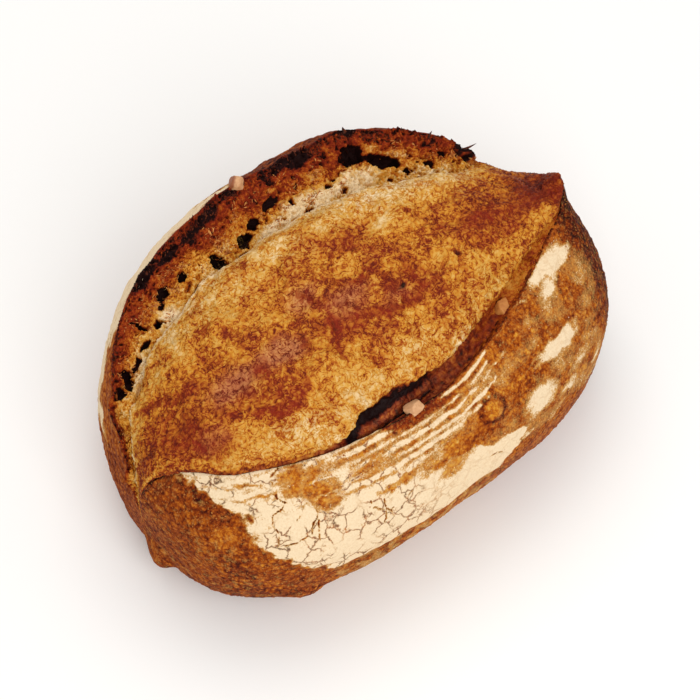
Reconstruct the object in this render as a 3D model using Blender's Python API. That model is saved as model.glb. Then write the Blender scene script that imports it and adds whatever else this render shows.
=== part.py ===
"""A walnut bread: an oval sourdough loaf with one long score and the walnut pieces that show in its crust.

Metres, +Z up. The loaf stands on z = 0, with the origin under the middle of its box. +X runs along the loaf
to the end where the score's lip stands up in a horn, -Y is the floured side, and +Y the side of the ear.

The crust is one lofted skin. A station runs from -1 to 1 along the loaf, and each has one closed section: the
floured side up to the lip, the ledge under the lip, the bloom that rose out of the score, the torn face up to
the rim of the ear, and the far side. A size that changes along the loaf is given by keys, each a station and
the value there. Shares are of the half width on that side.
"""

import math

import bmesh
import bpy
from mathutils import Matrix, Vector, noise

# Driving dimensions of the whole loaf.
LENGTH = 0.250
NEAR_HALF_WIDTH = 0.0910
FAR_HALF_WIDTH = 0.0940
BASE_DROP = 1.12
MIDDLE_X = 0.0015
MIDDLE_Y = -0.0055

# How square the loaf is: 2 is an ellipse, and more is squarer.
PLAN_LEFT = 2.40
PLAN_RIGHT = 2.55
RISE_LEFT = 3.6
RISE_RIGHT = 3.0
FALL = 4.0
SHOULDER = 2.56
UNDERSIDE_OUT = 3.0
UNDERSIDE_DOWN = 2.4

# The body: its widest height, its bend, how full each side is, and the height of the skin.
WIDEST_HEIGHT = ((-1, 0.039), (0, 0.043), (1, 0.040))
BEND = ((-1, -0.006), (-0.5, 0.0005), (0, 0.0025), (1, -0.001))
NEAR_FULLNESS = ((-1, 1.14), (-0.85, 1.04), (-0.3, 0.985), (0.4, 1.0), (1, 1.0))
FAR_FULLNESS = ((-1, 0.80), (-0.85, 0.94), (-0.4, 1.0), (0.4, 1.035), (0.85, 0.93), (1, 0.70))
SKIN_HEIGHT = ((-1, 0.096), (0, 0.097), (1, 0.099))

# The score's near edge: the lip of the floured skin, and the ledge under it.
LIP_SHARE = (
    (-1, 0.02), (-0.9, 0.21), (-0.75, 0.495), (-0.4, 0.67), (0, 0.715),
    (0.4, 0.60), (0.7, 0.46), (0.84, 0.38), (0.92, 0.15), (1, 0.02),
)
LIP_RISE = ((-1, 0.002), (0.5, 0.001), (0.8, 0.010), (0.89, 0.023), (1, 0.005))
LEDGE_WIDTH = ((-1, 0.0), (-0.35, 0.002), (0, 0.007), (0.3, 0.009), (0.6, 0.007), (0.8, 0.002), (1, 0.0))
LEDGE_DEPTH = ((-1, 0.0), (-0.5, 0.001), (-0.2, 0.004), (0.4, 0.004), (0.7, 0.001), (1, 0.0))

# The bloom's rise, the valley behind it, and the ear's rim, as heights over the widest height.
BLOOM_RISE = ((-1, 0.006), (-0.6, 0.015), (0, 0.019), (0.5, 0.018), (0.8, 0.010), (1, 0.002))
VALLEY_SHARE = ((-1, 0.0), (-0.9, 0.39), (-0.7, 0.48), (-0.2, 0.415), (0.3, 0.36), (0.6, 0.255), (1, 0.28))
VALLEY_HEIGHT = ((-1, 0.044), (-0.5, 0.051), (0, 0.054), (0.5, 0.050), (1, 0.044))
RIM_SHARE = (
    (-1, 0.28), (-0.9, 0.65), (-0.7, 0.755), (-0.2, 0.675), (0.3, 0.66),
    (0.6, 0.545), (0.8, 0.475), (1, 0.25),
)
RIM_HEIGHT = (
    (-1, 0.046), (-0.7, 0.057), (-0.2, 0.0715), (0.2, 0.066), (0.45, 0.068),
    (0.65, 0.064), (0.74, 0.058), (0.81, 0.041), (1, 0.034),
)
EAR_FLARE = 0.006
EAR_LEAN = 0.010
EAR_BULGE = 1.5
RIM_RAG = 0.0022
RIM_RAG_LENGTH = 0.008

# How the curves across a section run: how late the lip lifts, how square the bloom's arch is across and up,
# and how much the torn face is dished.
LIP_LATENESS = 4
BLOOM_SQUARE_ACROSS = 0.85
BLOOM_SQUARE_UP = 0.75
TORN_DISH = 1.6

# Relief of the surfaces: how deep, and how far apart its swells are.
CRUST_SWELL = (0.0014, 0.026)
BLOOM_SWELL = (0.0038, 0.021)
BLOOM_BLISTER = (0.0016, 0.0085)
TORN_CRAG = (0.0048, 0.0105)

STATIONS = 60
END_ANGLE = math.radians(2.6)

# The walnut pieces: name, zone, station, share across the zone, (length, width, thickness), rise, turn.
WALNUTS = (
    ("walnut_rim", "far_side", -0.085, 0.02, (0.0085, 0.0062, 0.0052), 0.0010, 35),
    ("walnut_ledge", "ledge", -0.130, 0.45, (0.0110, 0.0080, 0.0060), 0.0012, 30),
    ("walnut_end", "ledge", 0.385, 0.55, (0.0085, 0.0070, 0.0055), 0.0010, 20),
)
WALNUT_ROUGH = 0.30
PEBBLE_LUMPS = 1.7
HOLE_ROUGH = 0.35
GAP = 0.0004

# Holes torn in the crumb: station, share across the torn face, half length, half width, depth.
TORN_HOLES = (
    (-0.900, 0.62, 0.0055, 0.0028, 0.0055),
    (-0.735, 0.30, 0.0060, 0.0026, 0.0050),
    (-0.655, 0.20, 0.0032, 0.0024, 0.0040),
    (-0.585, 0.50, 0.0042, 0.0030, 0.0045),
    (-0.560, 0.18, 0.0034, 0.0026, 0.0042),
    (-0.500, 0.42, 0.0034, 0.0028, 0.0042),
    (-0.282, 0.22, 0.0042, 0.0034, 0.0065),
    (-0.200, 0.12, 0.0040, 0.0018, 0.0045),
    (-0.150, 0.28, 0.0042, 0.0034, 0.0060),
    (-0.070, 0.36, 0.0034, 0.0026, 0.0040),
    (-0.010, 0.56, 0.0052, 0.0022, 0.0040),
    (0.050, 0.25, 0.0030, 0.0022, 0.0036),
    (0.235, 0.48, 0.0034, 0.0026, 0.0040),
    (0.330, 0.60, 0.0050, 0.0038, 0.0070),
    (0.425, 0.42, 0.0085, 0.0036, 0.0065),
    (0.560, 0.42, 0.0034, 0.0024, 0.0040),
    (0.700, 0.62, 0.0034, 0.0024, 0.0036),
)
LEDGE_CREVICES = (
    (-0.235, 0.75, 0.0120, 0.0030, 0.0060),
    (0.060, 0.80, 0.0150, 0.0028, 0.0050),
)

# Lumps that swell the crust: zone, station, share across the zone, radius, height. They stand out sideways from
# the loaf, and lengthways only close to its ends. The crown says how peaked they are.
LUMP_ENDWAYS = 15
LUMP_CROWN = 1.5
LUMPS = (
    ("near_lower", -0.992, 0.20, 0.0105, 0.0060),
    ("near_lower", -0.700, 0.75, 0.0110, 0.0022),
    ("near_shoulder", 0.125, 0.62, 0.0085, 0.0030),
    ("torn_face", -0.875, 0.50, 0.0085, 0.0050),
    ("torn_face", -0.975, 0.70, 0.0060, 0.0035),
    ("torn_face", -0.385, 0.35, 0.0120, 0.0060),
    ("ledge", 0.880, 0.60, 0.0100, 0.0050),
)


# What the crust and the walnut pieces look like, as linear colours and roughness.
CRUST_COLOUR = (0.42, 0.20, 0.075)
CRUST_ROUGHNESS = 0.72
WALNUT_COLOUR = (0.62, 0.40, 0.26)
WALNUT_ROUGHNESS = 0.60

# How far apart the points are that give the crust's slope where something sits on it.
SLOPE_STEP = 0.02


def at_station(keys, station):
    """The value at a station: eased from key to key, and never past either of them."""
    places = [key[0] for key in keys]
    values = [key[1] for key in keys]
    steps = [b - a for a, b in zip(places, places[1:])]
    slopes = [(b - a) / step for a, b, step in zip(values, values[1:], steps)]
    eases = [slopes[0]]
    for before, after in zip(slopes, slopes[1:]):
        eases.append(2 * before * after / (before + after) if before * after > 0 else 0.0)
    eases.append(slopes[-1])
    i = max(0, min(len(steps) - 1, sum(place < station for place in places) - 1))
    t = (station - places[i]) / steps[i]
    start = (2 * t**3 - 3 * t**2 + 1) * values[i] + (t**3 - 2 * t**2 + t) * steps[i] * eases[i]
    end = (3 * t**2 - 2 * t**3) * values[i + 1] + (t**3 - t**2) * steps[i] * eases[i + 1]
    return start + end


def rounding(share, squareness):
    """How far a superellipse stands out, from 1 at share 0 to 0 at share 1."""
    return max(0.0, 1 - abs(share) ** squareness) ** (1 / squareness)


def swell(point, size):
    """Smooth unevenness of a depth, with swells a length apart."""
    depth, length = size
    return depth * noise.noise(point / length)


class Section:
    """The loaf cut across at one station. Each zone is a method from 0 to 1 across it, to a point (y, z)."""

    def __init__(self, station):
        self.station = station
        self.breadth = rounding(station, PLAN_RIGHT if station > 0 else PLAN_LEFT)
        self.middle = at_station(BEND, station) + MIDDLE_Y
        self.widest = at_station(WIDEST_HEIGHT, station)
        self.near = NEAR_HALF_WIDTH * self.breadth * at_station(NEAR_FULLNESS, station)
        self.far = FAR_HALF_WIDTH * self.breadth * at_station(FAR_FULLNESS, station)
        self.rise = rounding(station, RISE_RIGHT if station > 0 else RISE_LEFT)
        self.fall = BASE_DROP * self.widest * rounding(station, FALL)
        self.shoulder = (at_station(SKIN_HEIGHT, station) - self.widest) * self.rise
        lip_share = at_station(LIP_SHARE, station)
        self.lip_turn = math.acos(lip_share ** (SHOULDER / 2))
        self.lip_lift = at_station(LIP_RISE, station) * self.breadth
        self.lip = self.near_shoulder(1)
        self.crease = (
            self.lip[0] + at_station(LEDGE_WIDTH, station) * self.breadth,
            self.lip[1] - at_station(LEDGE_DEPTH, station) * self.breadth,
        )
        self.valley = (
            self.middle + self.far * at_station(VALLEY_SHARE, station),
            self.widest + self.rise * at_station(VALLEY_HEIGHT, station),
        )
        rag = RIM_RAG * noise.noise(Vector((station * LENGTH / 2 / RIM_RAG_LENGTH, 0.5, 0.5)))
        self.rim = (
            self.middle + self.far * at_station(RIM_SHARE, station),
            self.widest + self.rise * (at_station(RIM_HEIGHT, station) + rag),
        )

    def underside(self, share, half_width):
        """The arc from the widest height, at share 0, to under the middle, at share 1."""
        turn = share * math.pi / 2
        out = half_width * math.cos(turn) ** (2 / UNDERSIDE_OUT)
        return out, self.widest - self.fall * math.sin(turn) ** (2 / UNDERSIDE_DOWN)

    def near_lower(self, share):
        """The floured side's underside, from under the middle to the widest height."""
        out, height = self.underside(1 - share, self.near)
        return self.middle - out, height

    def near_shoulder(self, share):
        """The floured side, from its widest height up to the lip."""
        turn = self.lip_turn * share
        out = self.near * math.cos(turn) ** (2 / SHOULDER)
        height = self.widest + self.shoulder * math.sin(turn) ** (2 / SHOULDER)
        return self.middle - out, height + self.lip_lift * share**LIP_LATENESS

    def ledge(self, share):
        """The step in from the lip, down to the crease at the bloom's foot."""
        drop = (self.crease[1] - self.lip[1]) * math.sin(share * math.pi / 2)
        return self.lip[0] + (self.crease[0] - self.lip[0]) * share, self.lip[1] + drop

    def bloom(self, share):
        """The arch from the crease over to the valley."""
        turn = math.pi * share
        half = (self.valley[0] - self.crease[0]) / 2
        swing = math.copysign(abs(math.cos(turn)) ** BLOOM_SQUARE_ACROSS, math.cos(turn))
        across = (1 - swing) / 2
        foot = self.crease[1] + (self.valley[1] - self.crease[1]) * across
        arch = at_station(BLOOM_RISE, self.station) * self.rise * math.sin(turn) ** BLOOM_SQUARE_UP
        return self.crease[0] + 2 * half * across, foot + arch

    def torn_face(self, share):
        """The torn crumb from the valley up the inside of the ear to its rim."""
        height = self.valley[1] + (self.rim[1] - self.valley[1]) * share**TORN_DISH
        return self.valley[0] + (self.rim[0] - self.valley[0]) * share, height

    def far_side(self, share):
        """The ear's outer skin, from its rim down to the widest height."""
        outer = (self.middle + self.far, self.widest)
        leave = (EAR_FLARE * self.breadth, -EAR_LEAN * self.rise)
        arrive = (0.0, (self.widest - self.rim[1]) * EAR_BULGE)
        t = share
        weights = (2 * t**3 - 3 * t**2 + 1, t**3 - 2 * t**2 + t, 3 * t**2 - 2 * t**3, t**3 - t**2)
        ends = zip(self.rim, leave, outer, arrive)
        return tuple(sum(weight * end for weight, end in zip(weights, axis)) for axis in ends)

    def far_lower(self, share):
        """The ear side's underside, from the widest height to under the middle."""
        out, height = self.underside(share, self.far)
        return self.middle + out, height


# The zones round a section, in order, with the faces that each gets.
ZONES = (
    ("near_lower", 7),
    ("near_shoulder", 10),
    ("ledge", 3),
    ("bloom", 13),
    ("torn_face", 7),
    ("far_side", 9),
    ("far_lower", 6),
)


def lump_centres():
    """The middle of each lump, with its radius and height."""
    made = []
    for zone, station, share, radius, height in LUMPS:
        y, z = getattr(Section(station), zone)(share)
        made.append((Vector((MIDDLE_X + station * LENGTH / 2, y, z)), radius, height))
    return made


def crust_point(station, zone, share, section=None):
    """A point of the crust with its relief and lumps."""
    section = section or Section(station)
    y, z = getattr(section, zone)(share)
    point = Vector((MIDDLE_X + station * LENGTH / 2, y, z))
    outward = Vector((0, y - section.middle, z - section.widest)).normalized()
    if zone == "bloom":
        depth = swell(point, BLOOM_SWELL) + swell(point, BLOOM_BLISTER)
    elif zone == "torn_face":
        depth = swell(point, TORN_CRAG)
    else:
        depth = swell(point, CRUST_SWELL)
    moved = outward * depth * section.breadth
    for centre, radius, height in LUMP_CENTRES:
        nearness = max(0.0, 1 - ((point - centre).length / radius) ** 2)
        leaning = Vector((station**LUMP_ENDWAYS, outward.y, outward.z)).normalized()
        moved += leaning * height * nearness**LUMP_CROWN
    return point + moved


LUMP_CENTRES = lump_centres()


def crust_frame(station, zone, share):
    """Where something sits on the crust: X along the loaf, Z out of the crust."""
    last = 1 - SLOPE_STEP / 2
    ahead, behind = min(station + SLOPE_STEP, last), max(station - SLOPE_STEP, -last)
    above, below = min(share + SLOPE_STEP, 1), max(share - SLOPE_STEP, 0)
    along = crust_point(ahead, zone, share) - crust_point(behind, zone, share)
    across = crust_point(station, zone, above) - crust_point(station, zone, below)
    outward = along.cross(across).normalized()
    along.normalize()
    turn = Matrix((along, outward.cross(along), outward)).transposed().to_4x4()
    return Matrix.Translation(crust_point(station, zone, share)) @ turn


def loaf_mesh():
    """The lofted crust, cut flat where it stands."""
    mesh = bmesh.new()
    rings = []
    for i in range(STATIONS + 1):
        angle = (math.pi / 2 - END_ANGLE) * (2 * i / STATIONS - 1)
        plan = PLAN_RIGHT if angle > 0 else PLAN_LEFT
        station = math.copysign(abs(math.sin(angle)) ** (2 / plan), angle)
        section = Section(station)
        ring = []
        for zone, faces in ZONES:
            for j in range(faces):
                ring.append(mesh.verts.new(crust_point(station, zone, j / faces, section)))
        rings.append(ring)
    for ring, following in zip(rings, rings[1:]):
        for j, corner in enumerate(ring):
            k = (j + 1) % len(ring)
            mesh.faces.new((corner, following[j], following[k], ring[k]))
    for ring, station in ((rings[0], -1), (rings[-1], 1)):
        section = Section(station)
        tip = mesh.verts.new((MIDDLE_X + station * LENGTH / 2, section.middle, section.widest))
        for j, corner in enumerate(ring):
            mesh.faces.new((tip, corner, ring[(j + 1) % len(ring)]))
    bmesh.ops.triangulate(mesh, faces=mesh.faces)
    bmesh.ops.recalc_face_normals(mesh, faces=mesh.faces)
    everything = mesh.verts[:] + mesh.edges[:] + mesh.faces[:]
    bmesh.ops.bisect_plane(mesh, geom=everything, plane_co=(0, 0, 0), plane_no=(0, 0, 1), clear_inner=True)
    bmesh.ops.holes_fill(mesh, edges=[edge for edge in mesh.edges if edge.is_boundary])
    bmesh.ops.recalc_face_normals(mesh, faces=mesh.faces)
    return mesh


def pebble_mesh(half_sizes, frame, rough, seed, swollen=0.0):
    """A rough pebble of three half sizes with flat facets, swollen by a distance where it is a pocket."""
    mesh = bmesh.new()
    bmesh.ops.create_icosphere(mesh, subdivisions=2, radius=1)
    for vert in mesh.verts:
        radial = vert.co.normalized()
        reach = 1 + rough * noise.noise(radial * PEBBLE_LUMPS + Vector((seed, seed, seed)))
        size = Vector([half * axis for half, axis in zip(half_sizes, radial)]) * reach
        vert.co = frame @ (size + radial * swollen)
    return mesh


def new_object(name, mesh, collection, material=None):
    """Links a bmesh as an object with flat facets."""
    data = bpy.data.meshes.new(name)
    mesh.to_mesh(data)
    mesh.free()
    if material:
        data.materials.append(material)
    made = bpy.data.objects.new(name, data)
    collection.objects.link(made)
    return made


def new_collection(name, helper=False):
    """A collection, whose objects aren't pieces of the loaf where it is a helper."""
    made = bpy.data.collections.new(name)
    made.hide_render = helper
    bpy.context.scene.collection.children.link(made)
    return made


def new_material(name, colour, roughness):
    """A Principled BSDF of a colour and roughness."""
    made = bpy.data.materials.new(name)
    made.use_nodes = True
    shader = made.node_tree.nodes["Principled BSDF"]
    shader.inputs["Base Color"].default_value = (*colour, 1)
    shader.inputs["Roughness"].default_value = roughness
    shader.inputs["Metallic"].default_value = 0.0
    return made


def add_cutter(name, mesh, collection):
    """An object that only cuts."""
    made = new_object(name, mesh, collection)
    made.hide_render = True
    made.display_type = "WIRE"


def build():
    """Makes the loaf and its walnut pieces."""
    for old in list(bpy.data.objects):
        bpy.data.objects.remove(old)
    bread = new_collection("walnut_bread")
    cutters = new_collection("cutters", helper=True)
    crust = new_material("crust", CRUST_COLOUR, CRUST_ROUGHNESS)
    walnut = new_material("walnut", WALNUT_COLOUR, WALNUT_ROUGHNESS)

    for i, (station, share, *half_sizes) in enumerate(TORN_HOLES):
        frame = crust_frame(station, "torn_face", share)
        add_cutter(f"torn_hole_{i}", pebble_mesh(half_sizes, frame, HOLE_ROUGH, seed=i), cutters)
    for i, (station, share, *half_sizes) in enumerate(LEDGE_CREVICES):
        frame = crust_frame(station, "ledge", share)
        add_cutter(f"crevice_{i}", pebble_mesh(half_sizes, frame, HOLE_ROUGH, seed=i), cutters)
    for i, (name, zone, station, share, sizes, rise, turn) in enumerate(WALNUTS):
        seat = crust_frame(station, zone, share) @ Matrix.Translation((0, 0, rise))
        frame = seat @ Matrix.Rotation(math.radians(turn), 4, "Z")
        half_sizes = [size / 2 for size in sizes]
        pocket = pebble_mesh(half_sizes, frame, WALNUT_ROUGH, seed=i, swollen=GAP)
        add_cutter(f"{name}_pocket", pocket, cutters)
        new_object(name, pebble_mesh(half_sizes, frame, WALNUT_ROUGH, seed=i), bread, walnut)

    loaf = new_object("loaf", loaf_mesh(), bread, crust)
    cuts = loaf.modifiers.new("cuts", "BOOLEAN")
    cuts.operation = "DIFFERENCE"
    cuts.operand_type = "COLLECTION"
    cuts.collection = cutters
    cuts.solver = "EXACT"


build()
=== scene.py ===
"""Dresses the walnut bread: its floured skin, the bloom out of the score, the torn ear and the walnuts.

Metres, +Z up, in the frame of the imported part. Everything on the crust is placed by a zone round the loaf, a
station from -1 to 1 along it and a share from 0 to 1 across the zone. The form is in metres, and marks, noise
and relief are in millimetres.
"""

import logging
import math
from dataclasses import dataclass
from enum import Enum
from typing import Sequence

import bmesh
import bpy
import numpy as np
from bpy.types import Material, Mesh, Node, NodeOutputs, NodeSocket, NodeTree, Object
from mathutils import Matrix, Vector, noise


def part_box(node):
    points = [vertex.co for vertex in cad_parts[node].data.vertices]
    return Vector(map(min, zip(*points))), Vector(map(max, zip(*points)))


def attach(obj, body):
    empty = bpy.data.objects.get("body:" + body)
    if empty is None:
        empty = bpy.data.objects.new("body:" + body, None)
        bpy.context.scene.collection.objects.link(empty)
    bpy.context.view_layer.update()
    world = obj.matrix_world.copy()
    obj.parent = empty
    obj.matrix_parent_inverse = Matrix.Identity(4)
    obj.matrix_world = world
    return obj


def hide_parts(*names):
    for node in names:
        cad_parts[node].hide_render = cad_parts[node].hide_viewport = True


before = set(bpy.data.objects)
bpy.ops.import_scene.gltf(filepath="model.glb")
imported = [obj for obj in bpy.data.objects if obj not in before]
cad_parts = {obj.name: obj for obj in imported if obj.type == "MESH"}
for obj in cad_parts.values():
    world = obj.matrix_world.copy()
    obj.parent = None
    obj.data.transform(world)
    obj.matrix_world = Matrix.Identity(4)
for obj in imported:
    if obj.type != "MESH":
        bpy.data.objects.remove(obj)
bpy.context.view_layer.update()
LOG = logging.getLogger("walnut_bread")

Array = np.ndarray
Keys = tuple[tuple[float, float], ...]
Colour = tuple[float, float, float, float]
MM = 0.001
HASH_AXES = (np.uint32(0x9E3779B1), np.uint32(0x85EBCA77), np.uint32(0xC2B2AE3D))
HASH_SEED = 0x27D4EB2F
HASH_ROUNDS = ((15, 0x2C1B3C6D), (12, 0x297A2D39))
HASH_MOST = 0xFFFFFFFF


class Zone(Enum):
    """The zones round a section, in order from under the middle, up the floured side and over the top."""

    NEAR_LOWER = "near_lower"
    NEAR_SHOULDER = "near_shoulder"
    LEDGE = "ledge"
    BLOOM = "bloom"
    TORN_FACE = "torn_face"
    FAR_SIDE = "far_side"
    FAR_LOWER = "far_lower"


# The zones that carry most of the marks, by short names for the tables below.
NEAR, ARCH, TORN = Zone.NEAR_SHOULDER, Zone.BLOOM, Zone.TORN_FACE


# Noise and easing.


def eased(keys: Keys, station: Array) -> Array:
    """Values at stations, eased from key to key and never past either of them.

    Args:
        keys: Each a station and the value there.
        station: Where values are wanted.

    Returns:
        The values, in the shape of station.
    """
    places, values = np.array(keys, float).T
    steps = np.diff(places)
    slopes = np.diff(values) / steps
    eases = np.r_[slopes[0], np.zeros(len(slopes) - 1), slopes[-1]]
    same_way = slopes[:-1] * slopes[1:] > 0
    total = np.where(same_way, slopes[:-1] + slopes[1:], 1)
    eases[1:-1] = np.where(same_way, 2 * slopes[:-1] * slopes[1:] / total, 0)
    i = np.clip(np.searchsorted(places, station) - 1, 0, len(steps) - 1)
    t = (station - places[i]) / steps[i]
    start = (2 * t**3 - 3 * t**2 + 1) * values[i] + (t**3 - 2 * t**2 + t) * steps[i] * eases[i]
    end = (3 * t**2 - 2 * t**3) * values[i + 1] + (t**3 - t**2) * steps[i] * eases[i + 1]
    return start + end


def ramp(value: Array, low: float, high: float) -> Array:
    """Smooth step from 0 at low to 1 at high, or the other way round where high is the lower."""
    t = np.clip((value - low) / (high - low), 0, 1)
    return t * t * (3 - 2 * t)


def dice(cell: Array, seed: int) -> Array:
    """Even random numbers from 0 to 1, one for each whole-number cell.

    Args:
        cell: Whole numbers, three in the last axis.
        seed: Which set of numbers.

    Returns:
        Numbers in the shape of cell without its last axis.
    """
    x, y, z = np.moveaxis(cell.astype(np.int64).astype(np.uint32), -1, 0)
    mixed = x * HASH_AXES[0] ^ y * HASH_AXES[1] ^ z * HASH_AXES[2] ^ np.uint32(seed * HASH_SEED & HASH_MOST)
    for shift, factor in HASH_ROUNDS:
        mixed = (mixed ^ (mixed >> np.uint32(shift))) * np.uint32(factor)
    return (mixed ^ (mixed >> np.uint32(15))).astype(float) / HASH_MOST


def grain(points: Array, size: float, seed: int, octaves: int = 1) -> Array:
    """Gradient noise of about -1 to 1.

    Args:
        points: Places in millimetres, three in the last axis.
        size: How far apart the largest swells are, in millimetres.
        seed: Which noise.
        octaves: How many finer layers are added, each half the size and strength.

    Returns:
        Noise in the shape of points without its last axis.
    """
    total = np.zeros(points.shape[:-1])
    for octave in range(octaves):
        p = points * (2**octave / size)
        cell = np.floor(p)
        f = p - cell
        w = f**3 * (f * (f * 6 - 15) + 10)
        layer = np.zeros(points.shape[:-1])
        for corner in np.ndindex(2, 2, 2):
            at = cell + corner
            lean = np.stack([dice(at, seed + octave + 31 * axis) for axis in range(3)], -1) * 2 - 1
            weight = np.prod(np.where(corner, w, 1 - w), -1)
            layer += weight * np.sum(lean * (f - corner), -1)
        total += layer * 1.6 / 2**octave
    return total


def waver(points: Array, size: float, seed: int, reach: float) -> Array:
    """Points moved about by noise, so that marks laid on them get uneven edges.

    Args:
        points: Places in millimetres.
        size: How far apart the largest swells of the noise are, in millimetres.
        seed: The first of the three noises.
        reach: About how far a point moves, in millimetres.

    Returns:
        The moved points.
    """
    return points + reach * np.stack([grain(points, size, seed + axis, 2) for axis in range(3)], -1)


def travelled(points: Array) -> Array:
    """How far each point is from the first of its row, over the surface."""
    return np.cumsum(np.linalg.norm(np.diff(points, axis=1, prepend=points[:, :1]), axis=-1), 1)


def waves(distance: Array, spacing: float) -> Array:
    """Waves from -1 to 1, a spacing apart."""
    return np.sin(distance * 2 * math.pi / spacing)


def cells(points: Array, size: float, seed: int) -> tuple[Array, Array]:
    """Distances to the nearest and second nearest of scattered points.

    Args:
        points: Places in millimetres, three in the last axis.
        size: How far apart the scattered points are, in millimetres.
        seed: Which scattering.

    Returns:
        Both distances, as shares of size.
    """
    p = points / size
    cell = np.floor(p)
    first = np.full(points.shape[:-1], 9.0)
    second = first.copy()
    for near in np.ndindex(3, 3, 3):
        at = cell + near - 1
        spot = at + np.stack([dice(at, seed + 17 * axis) for axis in range(3)], -1)
        away = np.sum((spot - p) ** 2, -1)
        second = np.minimum(second, np.maximum(first, away))
        first = np.minimum(first, away)
    return np.sqrt(first), np.sqrt(second)


def swell(points: Array, depth: float, length: float) -> Array:
    """The slow unevenness of the part's crust: its depth in metres, with swells a length apart."""
    flat = (points / length).reshape(-1, 3).tolist()
    return depth * np.array([noise.noise(p) for p in flat]).reshape(points.shape[:-1])


# Pieces in the scene.


def in_scene(mesh: Mesh) -> Object:
    """Makes an object of a mesh, with its name, and links it to the scene."""
    made = bpy.data.objects.new(mesh.name, mesh)
    bpy.context.scene.collection.objects.link(made)
    return made


def give_layer(mesh: Mesh, name: str, values: Array) -> None:
    """Gives a mesh an attribute with a number for each of its points."""
    mesh.attributes.new(name, "FLOAT", "POINT").data.foreach_set("value", values.astype(np.float32))


def dress(piece: Object, material: Material | None, slot: str, *nodes: str) -> None:
    """Gives a piece its material and its place on the loaf.

    Args:
        piece: The piece.
        material: Its finish, or None where it has one.
        slot: Not used.
        nodes: The CAD nodes that it stands for.
    """
    if material:
        piece.data.materials.append(material)
    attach(piece, "root")
    if nodes:
        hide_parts(*nodes)
    LOG.info("dressed %s", piece.name)


# The loaf's form.


def rounded(station: Array, square: Array | float) -> Array:
    """A superellipse's height at stations: 1 in the middle, 0 at the tips, and boxier for a larger square."""
    return np.clip(1 - np.abs(station) ** square, 0, None) ** (1 / square)


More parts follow.
